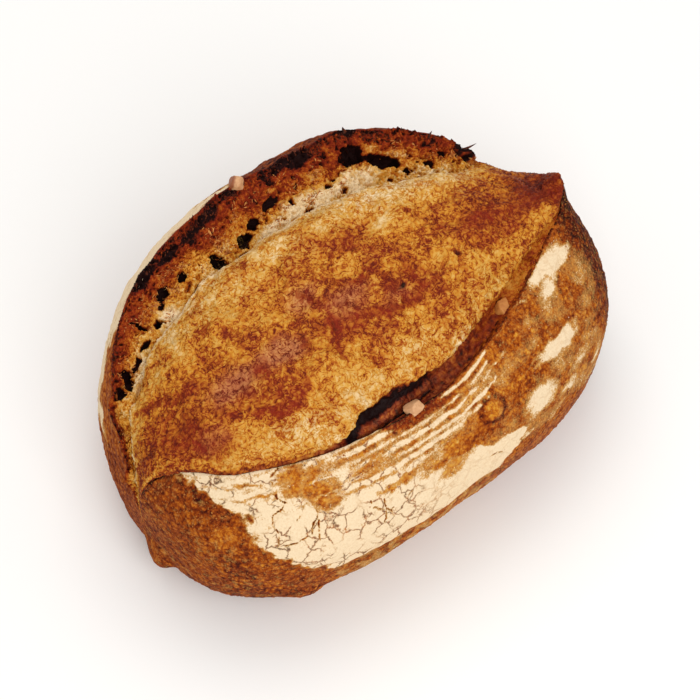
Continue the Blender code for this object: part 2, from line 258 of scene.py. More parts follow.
@dataclass(frozen=True)
class LoafForm:
    """Sizes of the whole loaf in metres. They are the part's own, so the looks sit where its solid does."""

    length: float = 0.250
    near_half_width: float = 0.0910
    far_half_width: float = 0.0940
    base_drop: float = 1.12
    middle_x: float = 0.0015
    middle_y: float = -0.0055
    plan_left: float = 2.40
    plan_right: float = 2.55
    rise_left: float = 3.6
    rise_right: float = 3.0
    fall_square: float = 4.0
    shoulder_square: float = 2.56
    underside_out: float = 3.0
    underside_down: float = 2.4
    widest_height: Keys = ((-1, 0.039), (0, 0.043), (1, 0.040))
    bend: Keys = ((-1, -0.006), (-0.5, 0.0005), (0, 0.0025), (1, -0.001))
    near_fullness: Keys = ((-1, 1.14), (-0.85, 1.04), (-0.3, 0.985), (0.4, 1.0), (1, 1.0))
    far_fullness: Keys = ((-1, 0.80), (-0.85, 0.94), (-0.4, 1.0), (0.4, 1.035), (0.85, 0.93), (1, 0.70))
    skin_height: Keys = ((-1, 0.096), (0, 0.097), (1, 0.099))
    lip_share: Keys = (
        (-1, 0.02), (-0.9, 0.21), (-0.75, 0.495), (-0.4, 0.67), (0, 0.715),
        (0.4, 0.60), (0.7, 0.46), (0.84, 0.38), (0.92, 0.15), (1, 0.02),
    )
    lip_rise: Keys = ((-1, 0.002), (0.5, 0.001), (0.8, 0.010), (0.89, 0.023), (1, 0.005))
    ledge_width: Keys = (
        (-1, 0.0), (-0.35, 0.002), (0, 0.007), (0.3, 0.009), (0.6, 0.007), (0.8, 0.002), (1, 0.0),
    )
    ledge_depth: Keys = ((-1, 0.0), (-0.5, 0.001), (-0.2, 0.004), (0.4, 0.004), (0.7, 0.001), (1, 0.0))
    bloom_rise: Keys = ((-1, 0.006), (-0.6, 0.015), (0, 0.019), (0.5, 0.018), (0.8, 0.010), (1, 0.002))
    valley_share: Keys = (
        (-1, 0.0), (-0.9, 0.39), (-0.7, 0.48), (-0.2, 0.415), (0.3, 0.36), (0.6, 0.255), (1, 0.28),
    )
    valley_height: Keys = ((-1, 0.044), (-0.5, 0.051), (0, 0.054), (0.5, 0.050), (1, 0.044))
    rim_share: Keys = (
        (-1, 0.28), (-0.9, 0.65), (-0.7, 0.755), (-0.2, 0.675), (0.3, 0.66),
        (0.6, 0.545), (0.8, 0.475), (1, 0.25),
    )
    rim_height: Keys = (
        (-1, 0.046), (-0.7, 0.057), (-0.2, 0.0715), (0.2, 0.066), (0.45, 0.068),
        (0.65, 0.064), (0.74, 0.058), (0.81, 0.041), (1, 0.034),
    )
    ear_flare: float = 0.006
    ear_lean: float = 0.010
    ear_bulge: float = 1.5
    lip_lateness: float = 4
    bloom_square_across: float = 0.85
    bloom_square_up: float = 0.75
    torn_dish: float = 1.6
    rim_rag: float = 0.0022
    rim_rag_length: float = 0.008
    crust_swell: tuple[float, float] = (0.0014, 0.026)
    bloom_swell: tuple[float, float] = (0.0038, 0.021)
    bloom_blister: tuple[float, float] = (0.0016, 0.0085)
    torn_crag: tuple[float, float] = (0.0048, 0.0105)
    lump_endways: int = 15
    lump_crown: float = 1.5
    lumps: tuple[tuple[Zone, float, float, float, float], ...] = (
        (Zone.NEAR_LOWER, -0.992, 0.20, 0.0105, 0.0060),
        (Zone.NEAR_LOWER, -0.700, 0.75, 0.0110, 0.0022),
        (Zone.NEAR_SHOULDER, 0.125, 0.62, 0.0085, 0.0030),
        (Zone.TORN_FACE, -0.875, 0.50, 0.0085, 0.0050),
        (Zone.TORN_FACE, -0.975, 0.70, 0.0060, 0.0035),
        (Zone.TORN_FACE, -0.385, 0.35, 0.0120, 0.0060),
        (Zone.LEDGE, 0.880, 0.60, 0.0100, 0.0050),
    )

    def breadth(self, station: Array) -> Array:
        """How wide the loaf is at stations, as a share of its widest."""
        return rounded(station, np.where(station > 0, self.plan_right, self.plan_left))

    def place(self, zone: Zone, station: float, share: float) -> Array:
        """A point on the loaf's bare form, in millimetres."""
        section = Sections(self, np.array([[station]]))
        return section.points(zone, np.array([[share]]))[0, 0] / MM

    def bearings(self, zone: Zone, station: float, share: float) -> tuple[Array, Array]:
        """The directions along and across a zone at a place, each of length 1."""
        step, furthest = 0.01, 0.999
        ahead, behind = min(station + step, furthest), max(station - step, -furthest)
        above, below = min(share + step, 1), max(share - step, 0)
        along = self.place(zone, ahead, share) - self.place(zone, behind, share)
        across = self.place(zone, station, above) - self.place(zone, station, below)
        along = along / np.linalg.norm(along)
        across = across - along * (across @ along)
        return along, across / np.linalg.norm(across)


class Sections:
    """The loaf cut across at many stations at once. Each zone is a method from share 0 to 1, to y and z."""

    def __init__(self, form: LoafForm, station: Array) -> None:
        """Works out what the zones share.

        Args:
            form: The loaf's sizes.
            station: The stations, one to a row.
        """
        self.form, self.station = form, station
        self.breadth = form.breadth(station)
        self.middle = eased(form.bend, station) + form.middle_y
        self.widest = eased(form.widest_height, station)
        self.near = form.near_half_width * self.breadth * eased(form.near_fullness, station)
        self.far = form.far_half_width * self.breadth * eased(form.far_fullness, station)
        self.rise = rounded(station, np.where(station > 0, form.rise_right, form.rise_left))
        self.fall = form.base_drop * self.widest * rounded(station, form.fall_square)
        self.shoulder = (eased(form.skin_height, station) - self.widest) * self.rise
        self.lip_turn = np.arccos(eased(form.lip_share, station) ** (form.shoulder_square / 2))
        self.lip_lift = eased(form.lip_rise, station) * self.breadth
        self.lip = self.near_shoulder(np.ones_like(station))
        self.crease = (
            self.lip[0] + eased(form.ledge_width, station) * self.breadth,
            self.lip[1] - eased(form.ledge_depth, station) * self.breadth,
        )
        self.valley = (
            self.middle + self.far * eased(form.valley_share, station),
            self.widest + self.rise * eased(form.valley_height, station),
        )
        flat = (station * form.length / 2 / form.rim_rag_length).ravel()
        rag = form.rim_rag * np.array([noise.noise((x, 0.5, 0.5)) for x in flat]).reshape(station.shape)
        self.rim = (
            self.middle + self.far * eased(form.rim_share, station),
            self.widest + self.rise * (eased(form.rim_height, station) + rag),
        )

    def underside(self, share: Array, half_width: Array) -> tuple[Array, Array]:
        """The arc from the widest height, at share 0, to under the middle, at share 1."""
        turn = share * math.pi / 2
        out = half_width * np.cos(turn).clip(0) ** (2 / self.form.underside_out)
        return out, self.widest - self.fall * np.sin(turn).clip(0) ** (2 / self.form.underside_down)

    def near_lower(self, share: Array) -> tuple[Array, Array]:
        """The floured side's underside, from under the middle to the widest height."""
        out, height = self.underside(1 - share, self.near)
        return self.middle - out, height

    def near_shoulder(self, share: Array) -> tuple[Array, Array]:
        """The floured side, from its widest height up to the lip."""
        turn, power = self.lip_turn * share, 2 / self.form.shoulder_square
        height = self.widest + self.shoulder * np.sin(turn).clip(0) ** power
        lift = self.lip_lift * np.abs(share) ** self.form.lip_lateness
        return self.middle - self.near * np.cos(turn).clip(0) ** power, height + lift

    def ledge(self, share: Array) -> tuple[Array, Array]:
        """The step in from the lip, down to the crease at the bloom's foot."""
        drop = (self.crease[1] - self.lip[1]) * np.sin(share * math.pi / 2)
        return self.lip[0] + (self.crease[0] - self.lip[0]) * share, self.lip[1] + drop

    def bloom(self, share: Array) -> tuple[Array, Array]:
        """The arch from the crease over to the valley."""
        turn = math.pi * share
        swing = np.sign(np.cos(turn)) * np.abs(np.cos(turn)) ** self.form.bloom_square_across
        across = (1 - swing) / 2
        foot = self.crease[1] + (self.valley[1] - self.crease[1]) * across
        arch = eased(self.form.bloom_rise, self.station) * self.rise
        lift = arch * np.sin(turn).clip(0) ** self.form.bloom_square_up
        return self.crease[0] + (self.valley[0] - self.crease[0]) * across, foot + lift

    def torn_face(self, share: Array) -> tuple[Array, Array]:
        """The torn crumb from the valley up the inside of the ear to its rim."""
        height = self.valley[1] + (self.rim[1] - self.valley[1]) * np.abs(share) ** self.form.torn_dish
        return self.valley[0] + (self.rim[0] - self.valley[0]) * share, height

    def far_side(self, share: Array) -> tuple[Array, Array]:
        """The ear's outer skin, from its rim down to the widest height."""
        outer = (self.middle + self.far, self.widest)
        leave = (self.form.ear_flare * self.breadth, -self.form.ear_lean * self.rise)
        arrive = (0 * self.far, (self.widest - self.rim[1]) * self.form.ear_bulge)
        t = share
        weights = (2 * t**3 - 3 * t**2 + 1, t**3 - 2 * t**2 + t, 3 * t**2 - 2 * t**3, t**3 - t**2)
        ends = zip(self.rim, leave, outer, arrive)
        y, z = (sum(weight * end for weight, end in zip(weights, axis)) for axis in ends)
        return y, z

    def far_lower(self, share: Array) -> tuple[Array, Array]:
        """The ear side's underside, from the widest height to under the middle."""
        out, height = self.underside(share, self.far)
        return self.middle + out, height

    def points(self, zone: Zone, share: Array) -> Array:
        """Points of a zone on the bare form, in metres."""
        y, z = getattr(self, zone.value)(share)
        x = self.form.middle_x + self.station * self.form.length / 2 + 0 * share
        return np.stack(np.broadcast_arrays(x, y, z), -1)


# Marks on the crust.

# The layers of a sheet, in the order in which its finish reads them: how far it is baked, together with its
# painted shade and highlight, how strong its grain is, its flour, how far that has cracked, and how much
# pinkish grey (on the bloom a painted sheen) and red there is in its brown.
CRUST_LAYERS = ("bake_and_painted_light", "mottle", "flour", "split", "blush_and_sheen", "ember")
LEAST_FLOUR, MOST_FLOUR = -0.5, 1.5
RING_WANDER = 1.6
FAR_RING_SPACING = 6.5
TIPS = (0.90, 0.985)
LIP_END = 0.32
TUCK_START = 0.955
REAR_END = 0.16


@dataclass(frozen=True)
class Dab:
    """An oval mark: its place, half length and half width in millimetres, turn in degrees, and strength."""

    zone: Zone
    station: float
    share: float
    length: float
    width: float
    turn: float = 0.0
    strength: float = 1.0

    def over(self, form: LoafForm, points: Array, soft: float = 1.0) -> Array:
        """How much of the mark lies on each point.

        Args:
            form: The loaf.
            points: Places in millimetres.
            soft: 1 fades from the middle outwards, and less keeps the middle flat.

        Returns:
            From 0 outside the oval to the strength in its middle.
        """
        along, across = form.bearings(self.zone, self.station, self.share)
        angle = math.radians(self.turn)
        away = points - form.place(self.zone, self.station, self.share)
        u = away @ (along * math.cos(angle) + across * math.sin(angle)) / self.length
        v = away @ (across * math.cos(angle) - along * math.sin(angle)) / self.width
        depth = away @ np.cross(along, across) / max(self.length, self.width)
        return self.strength * ramp(np.sqrt(u * u + v * v + 0.3 * depth * depth), 1, 1 - soft)


@dataclass(frozen=True)
class Line:
    """A thin mark through places of one zone, each a station and a share, with its width in millimetres."""

    zone: Zone
    course: tuple[tuple[float, float], ...]
    width: float
    strength: float = 1.0

    def over(self, form: LoafForm, points: Array) -> Array:
        """How much of the line lies on each point, from 0 outside to its strength in the middle."""
        places = [form.place(self.zone, *at) for at in self.course]
        nearest = np.full(points.shape[:-1], 99.0)
        for a, b in zip(places, places[1:]):
            run = b - a
            t = np.clip((points - a) @ run / (run @ run), 0, 1)
            gap = np.linalg.norm(points - a - t[..., None] * run, axis=-1)
            nearest = np.minimum(nearest, gap / (self.width * (0.6 + 0.4 * np.sin(np.pi * t))))
        return self.strength * ramp(nearest, 1, 0)


def dabs(zone: Zone, *rows: Sequence[float]) -> tuple[Dab, ...]:
    """Oval marks on one zone, from the rest of each one's values."""
    return tuple(Dab(zone, *row) for row in rows)


def marks(form: LoafForm, points: Array, made: Sequence[Dab | Line]) -> Array:
    """The strengths of all marks together at each point."""
    total = np.zeros(points.shape[:-1])
    for mark in made:
        total += mark.over(form, points)
    return total


def open_score(station: Array) -> Array:
    """How far the score stands open: 1 along the ledge, and 0 where bloom and skin run together."""
    return ramp(station, -0.86, -0.66) * ramp(station, 0.42, 0.12)


def end_bake(points: Array) -> Array:
    """How dark the skin is at the loaf's two ends, where the floured side and the far side meet."""
    return 0.63 + 0.06 * grain(points, 5, 26, 2)


def far_flour(points: Array, station: Array, down: Array) -> Array:
    """The flour outside the ear: thick on its left half, and in patches on the rest of the far side.

    Args:
        points: Places in millimetres.
        station: Their stations.
        down: Their shares down the far side.

    Returns:
        Flour from -0.5, bare, to 1.5, thick.
    """
    rings = waves(travelled(points) + RING_WANDER * grain(points, 9, 81, 2), FAR_RING_SPACING)
    flour = 0.38 + 0.75 * grain(points, 26, 84, 3) + 0.25 * rings + 0.3 * grain(points, 4, 85, 3)
    flour *= ramp(down, 1.0, 0.7)
    ragged = station + 0.10 * grain(points, 12, 89, 3) + 0.12 * ramp(down, 0.2, 0.7)
    flour += 0.7 * ramp(ragged, -0.80, -0.66) * ramp(ragged, -0.06, -0.2) * ramp(down, 0.95, 0.7)
    flour -= 0.7 * ramp(ragged, -0.72, -0.84) + 0.9 * ramp(ragged, -0.16, -0.02) * ramp(down, 0.8, 0.5)
    return np.clip(flour, LEAST_FLOUR, MOST_FLOUR)


# Sheets of crust.


@dataclass(frozen=True)
class Span:
    """A part of a zone across a sheet, from one share to another, with points a step of millimetres apart."""

    zone: Zone
    start: float
    end: float
    step: float


@dataclass
class Sheet:
    """A closed sheet of crust: a fine outer face with the crust's relief, and a plain inner face behind it.

    The inset is how many columns at its first and last edge the inner face keeps clear of.
    """

    form: LoafForm
    name: str = "sheet"
    spans: tuple[Span, ...] = ()
    step: float = 0.6
    thickness: float = 5.0
    inner_columns: int = 8
    inset: tuple[int, int] = (0, 0)
    lowest: float = 0.05

    def __post_init__(self) -> None:
        """Lays the points of the outer face on the bare form and gives them the part's relief."""
        self.station = self.even_stations()
        self.section = Sections(self.form, self.station)
        middle = Sections(self.form, np.zeros((1, 1)))
        columns, shares, zones = [], [], []
        for span in self.spans:
            dense = np.linspace(span.start, span.end, 400)[None]
            run = np.linalg.norm(np.diff(middle.points(span.zone, dense)[0], axis=0), axis=1) / MM
            reached = np.r_[0, np.cumsum(run)]
            count = max(3, round(reached[-1] / span.step))
            share = np.interp(np.linspace(0, reached[-1], count, endpoint=False), reached, dense[0])
            columns.append(self.section.points(span.zone, share[None]))
            shares.append(share)
            zones += [span.zone] * count
        self.points = np.concatenate(columns, 1) / MM
        self.share = np.concatenate(shares)[None]
        self.zones = zones
        self.heart = np.stack(
            np.broadcast_arrays(self.points[..., 0], self.section.middle / MM, self.section.widest / MM), -1
        )
        self.width = self.section.breadth + 0 * self.share
        self.layers: dict[str, Array] = {}
        self.add_part_relief()
        self.set_normals()

    def even_stations(self) -> Array:
        """Stations that are a step apart along the loaf's outline, one to a row."""
        tip_gap = 0.4
        angle = np.linspace(-math.pi / 2, math.pi / 2, 6001)[1:-1]
        station = np.sign(angle) * np.abs(np.sin(angle)) ** (2 / self.form.plan_left)
        out = self.form.breadth(station) * self.form.near_half_width / MM
        run = np.hypot(np.diff(station) * self.form.length / 2 / MM, np.diff(out))
        reached = np.r_[0, np.cumsum(run)]
        rows = round(reached[-1] / self.step)
        return np.interp(np.linspace(tip_gap, reached[-1] - tip_gap, rows), reached, station)[:, None]

    def is_zone(self, *wanted: Zone) -> Array:
        """Which columns lie in any of some zones, as 1 or 0."""
        return np.array([[float(zone in wanted) for zone in self.zones]])

    def part_depth(self) -> Array:
        """The part's own unevenness at each point, in millimetres."""
        return swell(self.points * MM, *self.form.crust_swell) / MM

    def add_part_relief(self) -> None:
        """Moves the points as the part's source does: its unevenness and its lumps."""
        out = self.points - self.heart
        out[..., 0] = 0
        out /= np.linalg.norm(out, axis=-1, keepdims=True) + 1e-9
        moved = out * (self.part_depth() * self.width)[..., None]
        leaning = out.copy()
        leaning[..., 0] = self.station**self.form.lump_endways
        leaning /= np.linalg.norm(leaning, axis=-1, keepdims=True)
        for zone, station, share, radius, height in self.form.lumps:
            away = np.linalg.norm(self.points - self.form.place(zone, station, share), axis=-1) * MM / radius
            nearness = np.clip(1 - away**2, 0, None) ** self.form.lump_crown
            moved += leaning * (height / MM * nearness)[..., None]
        self.points = self.points + moved

    def set_normals(self) -> None:
        """Works out which way each point faces."""
        normal = np.cross(np.gradient(self.points, axis=0), np.gradient(self.points, axis=1))
        normal += 1e-5 * (self.points - self.heart)
        self.normal = normal / (np.linalg.norm(normal, axis=-1, keepdims=True) + 1e-12)

    def lift(self, height: Array) -> None:
        """Moves the outer face outwards by a height in millimetres, and less close to the loaf's two tips."""
        self.points = self.points + self.normal * (height * ramp(self.width, 0, 0.3))[..., None]

    def sink(self, depth: Array) -> None:
        """Moves the outer face straight down by a depth in millimetres."""
        self.points[..., 2] -= depth * ramp(self.width, 0, 0.3)

    def shape(self) -> None:
        """Gives the outer face its fine relief and fills the layers that its finish reads."""

    def inner_face(self, picked: Array) -> Array:
        """The points of the inner face, which is drawn in towards the heart at the loaf's two tips.

        Args:
            picked: The columns of the outer face that it follows.

        Returns:
            Its points, a row for each row of the outer face.
        """
        spoke = self.points[:, picked] - self.heart[:, picked]
        reach = np.linalg.norm(spoke, axis=-1, keepdims=True)
        drawn_in = 0.3 + 0.7 * ramp(self.width[:, picked], 0.3, 0.65)[..., None]
        thinned = np.maximum(0.3, 1 - self.thickness / np.maximum(reach, 1e-6))
        return self.heart[:, picked] + spoke * drawn_in * thinned

    def build(self) -> Object:
        """Closes the sheet with its inner face and its two tips, and makes it an object.

        Returns:
            The object, with one attribute for each layer.
        """
        self.shape()
        rows, columns = self.points.shape[:2]
        picked = np.linspace(columns - 1 - self.inset[1], self.inset[0], self.inner_columns).astype(int)
        ring = np.concatenate([self.points, self.inner_face(picked)], 1)
        ring[..., 2] = np.maximum(ring[..., 2], self.lowest)
        around = ring.shape[1]
        index = np.arange(rows * around).reshape(rows, around)
        following = np.roll(index, -1, 1)
        quads = np.stack([index[:-1], index[1:], following[1:], following[:-1]], -1).reshape(-1, 4)
        first, last = rows * around, rows * around + 1
        caps = [(first, a, b) for a, b in zip(index[0], following[0])]
        caps += [(last, b, a) for a, b in zip(index[-1], following[-1])]
        tips = np.stack([ring[0].mean(0), ring[-1].mean(0)])
        places = np.concatenate([ring.reshape(-1, 3), tips]) * MM
        mesh = bpy.data.meshes.new(self.name)
        mesh.from_pydata(places.tolist(), [], quads.tolist() + caps)
        for layer, values in self.layers.items():
            values = values + 0 * self.width
            behind = 0 * values[:, picked] + (1.0 if layer == "bake_and_painted_light" else 0.0)
            whole = np.concatenate([values, behind], 1).ravel()
            give_layer(mesh, layer, np.r_[whole, whole[0], whole[-1]])
        mesh.shade_smooth()
        LOG.info("%s: %d points, %d faces", self.name, len(mesh.vertices), len(mesh.polygons))
        return in_scene(mesh)

    def dress(self, material: Material, *nodes: str) -> None:
        """Builds the sheet in its finish, in place of some CAD nodes."""
        dress(self.build(), material, "crust", *nodes)


# Marks that make the floured skin: where it is bare, where it is floured, and where it has split. Between
# FLOUR_FROM and FLOUR_TO, two stations for each height up the side, the basket floured it.
BARE_SKIN = dabs(
    NEAR,
    (-0.60, 0.90, 13, 9, 0), (-0.565, 0.78, 17, 9, -8), (-0.55, 0.66, 8, 6, -8),
    (-0.50, 0.93, 13, 4, 0, 0.6), (-0.38, 0.91, 14, 2.0, 2, 0.62), (-0.36, 0.82, 18, 2.2, 2, 0.62),
    (-0.33, 0.75, 14, 1.6, 2, 0.5), (-0.30, 0.54, 17, 3.4, 2), (-0.12, 0.53, 20, 7.5, 8),
    (0.03, 0.60, 20, 8.0, 12), (-0.08, 0.36, 15, 5.5, 8, 0.9), (-0.75, 0.925, 15, 1.6, 0, 0.66),
    (-0.73, 0.825, 17, 1.7, 2, 0.72), (-0.18, 0.80, 12, 1.4, 4, 0.6), (0.03, 0.92, 14, 1.5, 2, 0.8),
    (0.10, 0.84, 15, 1.7, 2, 0.8), (-0.20, 0.92, 14, 1.1, 2, 0.5),
)
FLOURED_SKIN = dabs(
    NEAR,
    (0.33, 0.34, 16, 11, 0, 1.1), (0.44, 0.59, 18, 5.0, -10, 1.1), (0.52, 0.56, 15, 6.5, -8, 1.1),
    (0.60, 0.95, 19, 9, -6, 1.1), (0.69, 0.90, 13, 7, -10), (0.57, 0.85, 12, 5, -6, 0.9),
    (0.56, 0.28, 16, 5, -4, 0.62), (0.47, 0.18, 13, 5, 0, 0.62), (0.66, 0.10, 10, 4, 0, 0.75),
    (0.20, 0.20, 12, 3, -6, 0.8), (0.27, 0.93, 8, 1.0, 0, 0.7), (0.24, 0.86, 12, 1.3, 0, 0.8),
    (0.17, 0.78, 14, 1.6, 2, 0.9), (0.44, 0.98, 6, 0.9, -25, 0.7), (0.10, 0.57, 4, 0.9, -30, 0.6),
    (-0.56, 0.84, 9, 1.0, 0, 0.9), (-0.55, 0.72, 7, 1.2, 0, 0.9),
)
FLOUR_FROM = (
    (0, -0.60), (0.1, -0.69), (0.2, -0.74), (0.3, -0.78), (0.4, -0.81), (0.55, -0.82), (0.7, -0.80),
    (0.76, -0.83), (0.83, -0.86), (0.9, -0.87), (1, -0.89),
)
FLOUR_TO = (
    (0, 0.10), (0.1, 0.22), (0.2, 0.22), (0.3, 0.10), (0.4, 0.0), (0.5, -0.12), (0.58, -0.05),
    (0.66, 0.02), (0.75, 0.12), (0.82, 0.18), (0.9, 0.20), (1, 0.22),
)
SKIN_CRACKS = (
    Line(NEAR, ((-0.625, 1.0), (-0.67, 0.93), (-0.68, 0.85), (-0.69, 0.79), (-0.66, 0.72)), 0.7),
    Line(NEAR, ((-0.68, 0.73), (-0.73, 0.66), (-0.745, 0.6), (-0.74, 0.5), (-0.77, 0.37)), 0.6),
    Line(NEAR, ((-0.63, 0.69), (-0.64, 0.63), (-0.67, 0.59)), 0.6),
    Line(NEAR, ((-0.60, 0.67), (-0.595, 0.6), (-0.61, 0.56), (-0.64, 0.5), (-0.645, 0.44)), 0.6),
    Line(NEAR, ((-0.605, 0.55), (-0.625, 0.46), (-0.63, 0.36), (-0.635, 0.26), (-0.65, 0.17)), 0.75),
    Line(NEAR, ((-0.64, 0.44), (-0.69, 0.41), (-0.74, 0.39)), 0.6),
    Line(NEAR, ((-0.54, 0.38), (-0.56, 0.3), (-0.60, 0.31)), 0.6),
    Line(NEAR, ((-0.42, 0.53), (-0.42, 0.46), (-0.39, 0.38), (-0.39, 0.3), (-0.405, 0.22)), 0.75),
    Line(NEAR, ((-0.37, 0.5), (-0.385, 0.4), (-0.365, 0.32), (-0.36, 0.22)), 0.75),
    Line(NEAR, ((-0.365, 0.34), (-0.31, 0.36), (-0.27, 0.4)), 0.6),
    Line(NEAR, ((-0.37, 0.82), (-0.365, 0.7), (-0.375, 0.63)), 0.6),
    Line(NEAR, ((-0.25, 0.66), (-0.245, 0.58), (-0.235, 0.54)), 0.6),
    Line(NEAR, ((0.04, 0.2), (0.1, 0.17), (0.12, 0.12)), 0.6),
)


@dataclass
class FlouredSkin(Sheet):
    """The skin from under the middle up the floured side to the rolled lip of the score."""

    name: str = "floured_skin"
    step: float = 0.66
    thickness: float = 6.0
    spans: tuple[Span, ...] = (
        Span(Zone.NEAR_LOWER, 0.0, 0.45, 3.0),
        Span(Zone.NEAR_LOWER, 0.45, 1.0, 1.1),
        Span(NEAR, 0.0, 1.0, 0.56),
        Span(Zone.LEDGE, 0.0, LIP_END, 0.45),
    )
    blister_size: float = 2.3
    blister_height: float = 0.32
    ring_spacing: float = 6.5
    ring_depth: float = 0.16
    strip_spacing: float = 3.6
    waver_reach: float = 1.6
    flour_height: float = 0.22
    crack_depth: float = 0.8
    lip_roll: float = 2.4
    plain_bake: float = 0.595
    knob: Dab = Dab(NEAR, 0.125, 0.62, 8.6, 7.6)
    horn: Dab = Dab(NEAR, 0.89, 1.0, 14, 11)
    left_light: Dab = Dab(NEAR, -0.88, 0.50, 12, 8)

    def flour_film(self, height: Array, floured: Array) -> Array:
        """The thin film of flour on the right half of the skin and round the thick flour.

        Args:
            height: How far up the floured side each point is, from 0 to 1.
            floured: How much of the basket's flour each point got, from 0 to 1.

        Returns:
            Flour, too thin to hide the crust.
        """
        p, station = self.points, self.station
        film = 0.40 * ramp(grain(p * (0.7, 1, 1), 15, 28, 3), -0.25, 0.3)
        film = film + 0.18 * ramp(grain(p, 8, 29, 3), -0.1, 0.3)
        film *= (
            ramp(station, -0.25, 0.2) * self.is_zone(NEAR) * ramp(height, 1.0, 0.9)
            * ramp(station, 0.86, 0.76)
        )
        film = 0.92 * film - 0.1 + 0.50 * floured * ramp(grain(p, 6, 30, 2), -0.6, 0.4)
        return film * ramp(height, 0.95, 0.88)

    def shape(self) -> None:
        """Blisters, basket rings, flour, its cracks, how dark the skin is baked, and its painted light and
        shade.
        """
        p, station, share = self.points, self.station, self.share
        upper, lip = self.is_zone(NEAR), self.is_zone(Zone.LEDGE)
        height = np.where(upper > 0, share, lip)
        wander = grain(p, 9, 11, 2)
        below_lip = travelled(p[:, ::-1])[:, ::-1]
        rings = waves(below_lip + RING_WANDER * wander, self.ring_spacing)
        bent = waver(p, 5, 15, self.waver_reach)

        # The flour ends at two uneven edges, and is rubbed off in patches and in strips between the rings.
        edge = height + 0.05 * wander
        from_left = ramp(station + 0.03 * grain(p, 6, 12, 3) - eased(FLOUR_FROM, edge), -0.012, 0.02)
        to_right = ramp(eased(FLOUR_TO, edge) - station - 0.05 * grain(p, 7, 13, 3), -0.02, 0.03)
        uncovered = marks(self.form, bent, BARE_SKIN)
        flour = from_left * to_right * np.where(upper + lip > 0, 1, 0) - 1.25 * uncovered
        flour += 1.15 * marks(self.form, bent, FLOURED_SKIN)
        flour += 0.26 * grain(p, 3.2, 14, 3) - 0.28 * ramp(rings, 0.2, 0.9) * ramp(height, 0.52, 0.66)
        along = station + 0.06 * wander
        streaked = 0.52 * ramp(along, -0.50, -0.38) + 0.48 * ramp(along, -0.10, 0.02)
        streaked *= ramp(height, 0.58, 0.72) * ramp(station, 0.40, 0.30)
        flour += streaked * (0.75 * waves(below_lip + 0.9 * wander, self.strip_spacing) - 0.62)
        flour -= 1.3 * ramp(height, 0.89, 0.94) * ramp(station, -0.27, -0.20) * ramp(station, 0.02, -0.05)
        flour = np.maximum(flour, self.flour_film(height, from_left * to_right))
        flour = np.clip(flour, LEAST_FLOUR, MOST_FLOUR)
        flour -= 1.2 * lip * ramp(share, 0.03, 0.12)
        covered = ramp(flour, 0.35, 0.65)
        crack = np.clip(0.9 * marks(self.form, p + 0.5 * (bent - p), SKIN_CRACKS), 0, 1)
        crack *= ramp(flour, 0.35, 0.7) * ramp(self.width, 0.1, 0.3)

        # The relief, and the lip that rolls in over the ledge.
        first, _ = cells(p + 0.4 * (bent - p), self.blister_size, 22)
        blisters = ramp(first, 0.55, 0.10) * ramp(grain(p, 4.5, 23, 2), -0.6, 0.3)
        relief = self.blister_height * blisters * (1 - 0.75 * covered)
        relief += self.ring_depth * rings * ramp(height, 0.1, 0.3) * (1 - lip)
        relief += 0.35 * grain(p, 6, 24, 3) + self.flour_height * covered - self.crack_depth * crack
        self.lift(relief)
        self.sink(self.lip_roll * (lip * share / LIP_END) ** 1.6 * (0.12 + 0.88 * open_score(station)))

        # How dark the skin is baked: at its knob, its two ends and its lip. The blisters are paler, partly
        # their own crust and partly a painted highlight on their tops, and the underside is a little darker as
        # painted shade.
        knob, lower = self.knob.over(self.form, p), self.is_zone(Zone.NEAR_LOWER)
        bake_and_painted_light = self.plain_bake + 0.05 * grain(p, 22, 25, 2) + 0.06 * grain(p, 5, 26, 2) - 0.22 * blisters
        bake_and_painted_light += 0.02 * ramp(station, 0.2, 0.5) - 0.10 * np.clip(uncovered, 0, 1)
        bake_and_painted_light += 0.16 * ramp(knob, 0.0, 0.12) * ramp(knob, 0.5, 0.2) - 0.10 * ramp(knob, 0.3, 0.8)
        bake_and_painted_light += 0.07 * ramp(station, -0.62, -0.86)
        bake_and_painted_light -= 0.12 * self.left_light.over(self.form, p)
        # Painted shade under the loaf.
        bake_and_painted_light += 0.04 * lower
        bake_and_painted_light += 0.19 * ramp(station, 0.70, 0.86) + 0.16 * ramp(height, 0.975, 1.0) * ramp(station, 0.05, -0.1)
        bake_and_painted_light += 0.12 * lip + 0.26 * self.horn.over(self.form, p, 0.7)
        bare_lip = ramp(height, 0.88, 0.94) * ramp(station, -0.30, -0.20) * ramp(station, 0.10, -0.03)
        bake_and_painted_light += 0.16 * ramp(crack, 0.15, 0.6) + 0.10 * bare_lip
        off_lip = 1 - ramp(height, 0.8, 0.95) * upper
        bake_and_painted_light += (end_bake(p) - bake_and_painted_light) * ramp(np.abs(station), *TIPS) * off_lip * (1 - lip)
        self.layers = {
            "bake_and_painted_light": bake_and_painted_light,
            "mottle": 0.72 - 0.20 * covered,
            "flour": flour - 1.5 * crack,
            "split": 0.85 * ramp(station, -0.05, -0.35) + 0.25 * upper,
            "blush_and_sheen": 0.10 * ramp(grain(p, 15, 27), -0.1, 0.6) + 0.3 * lower * ramp(station, -0.5, 0.1),
            "ember": 0.25 * self.horn.over(self.form, p) + 0.6 * bare_lip,
        }

    def bare(self) -> Array:
        """Where the skin shows without flour, above the widest height."""
        patchy = ramp(grain(self.points, 13, 91, 2), -0.5, 0.2)
        return ramp(self.layers["flour"], 0.42, 0.15) * patchy * self.is_zone(NEAR)

    def flour_edge(self) -> Array:
        """Where the flour thins out."""
        return ramp(np.abs(self.layers["flour"] - 0.50), 0.24, 0.06) * self.is_zone(NEAR)
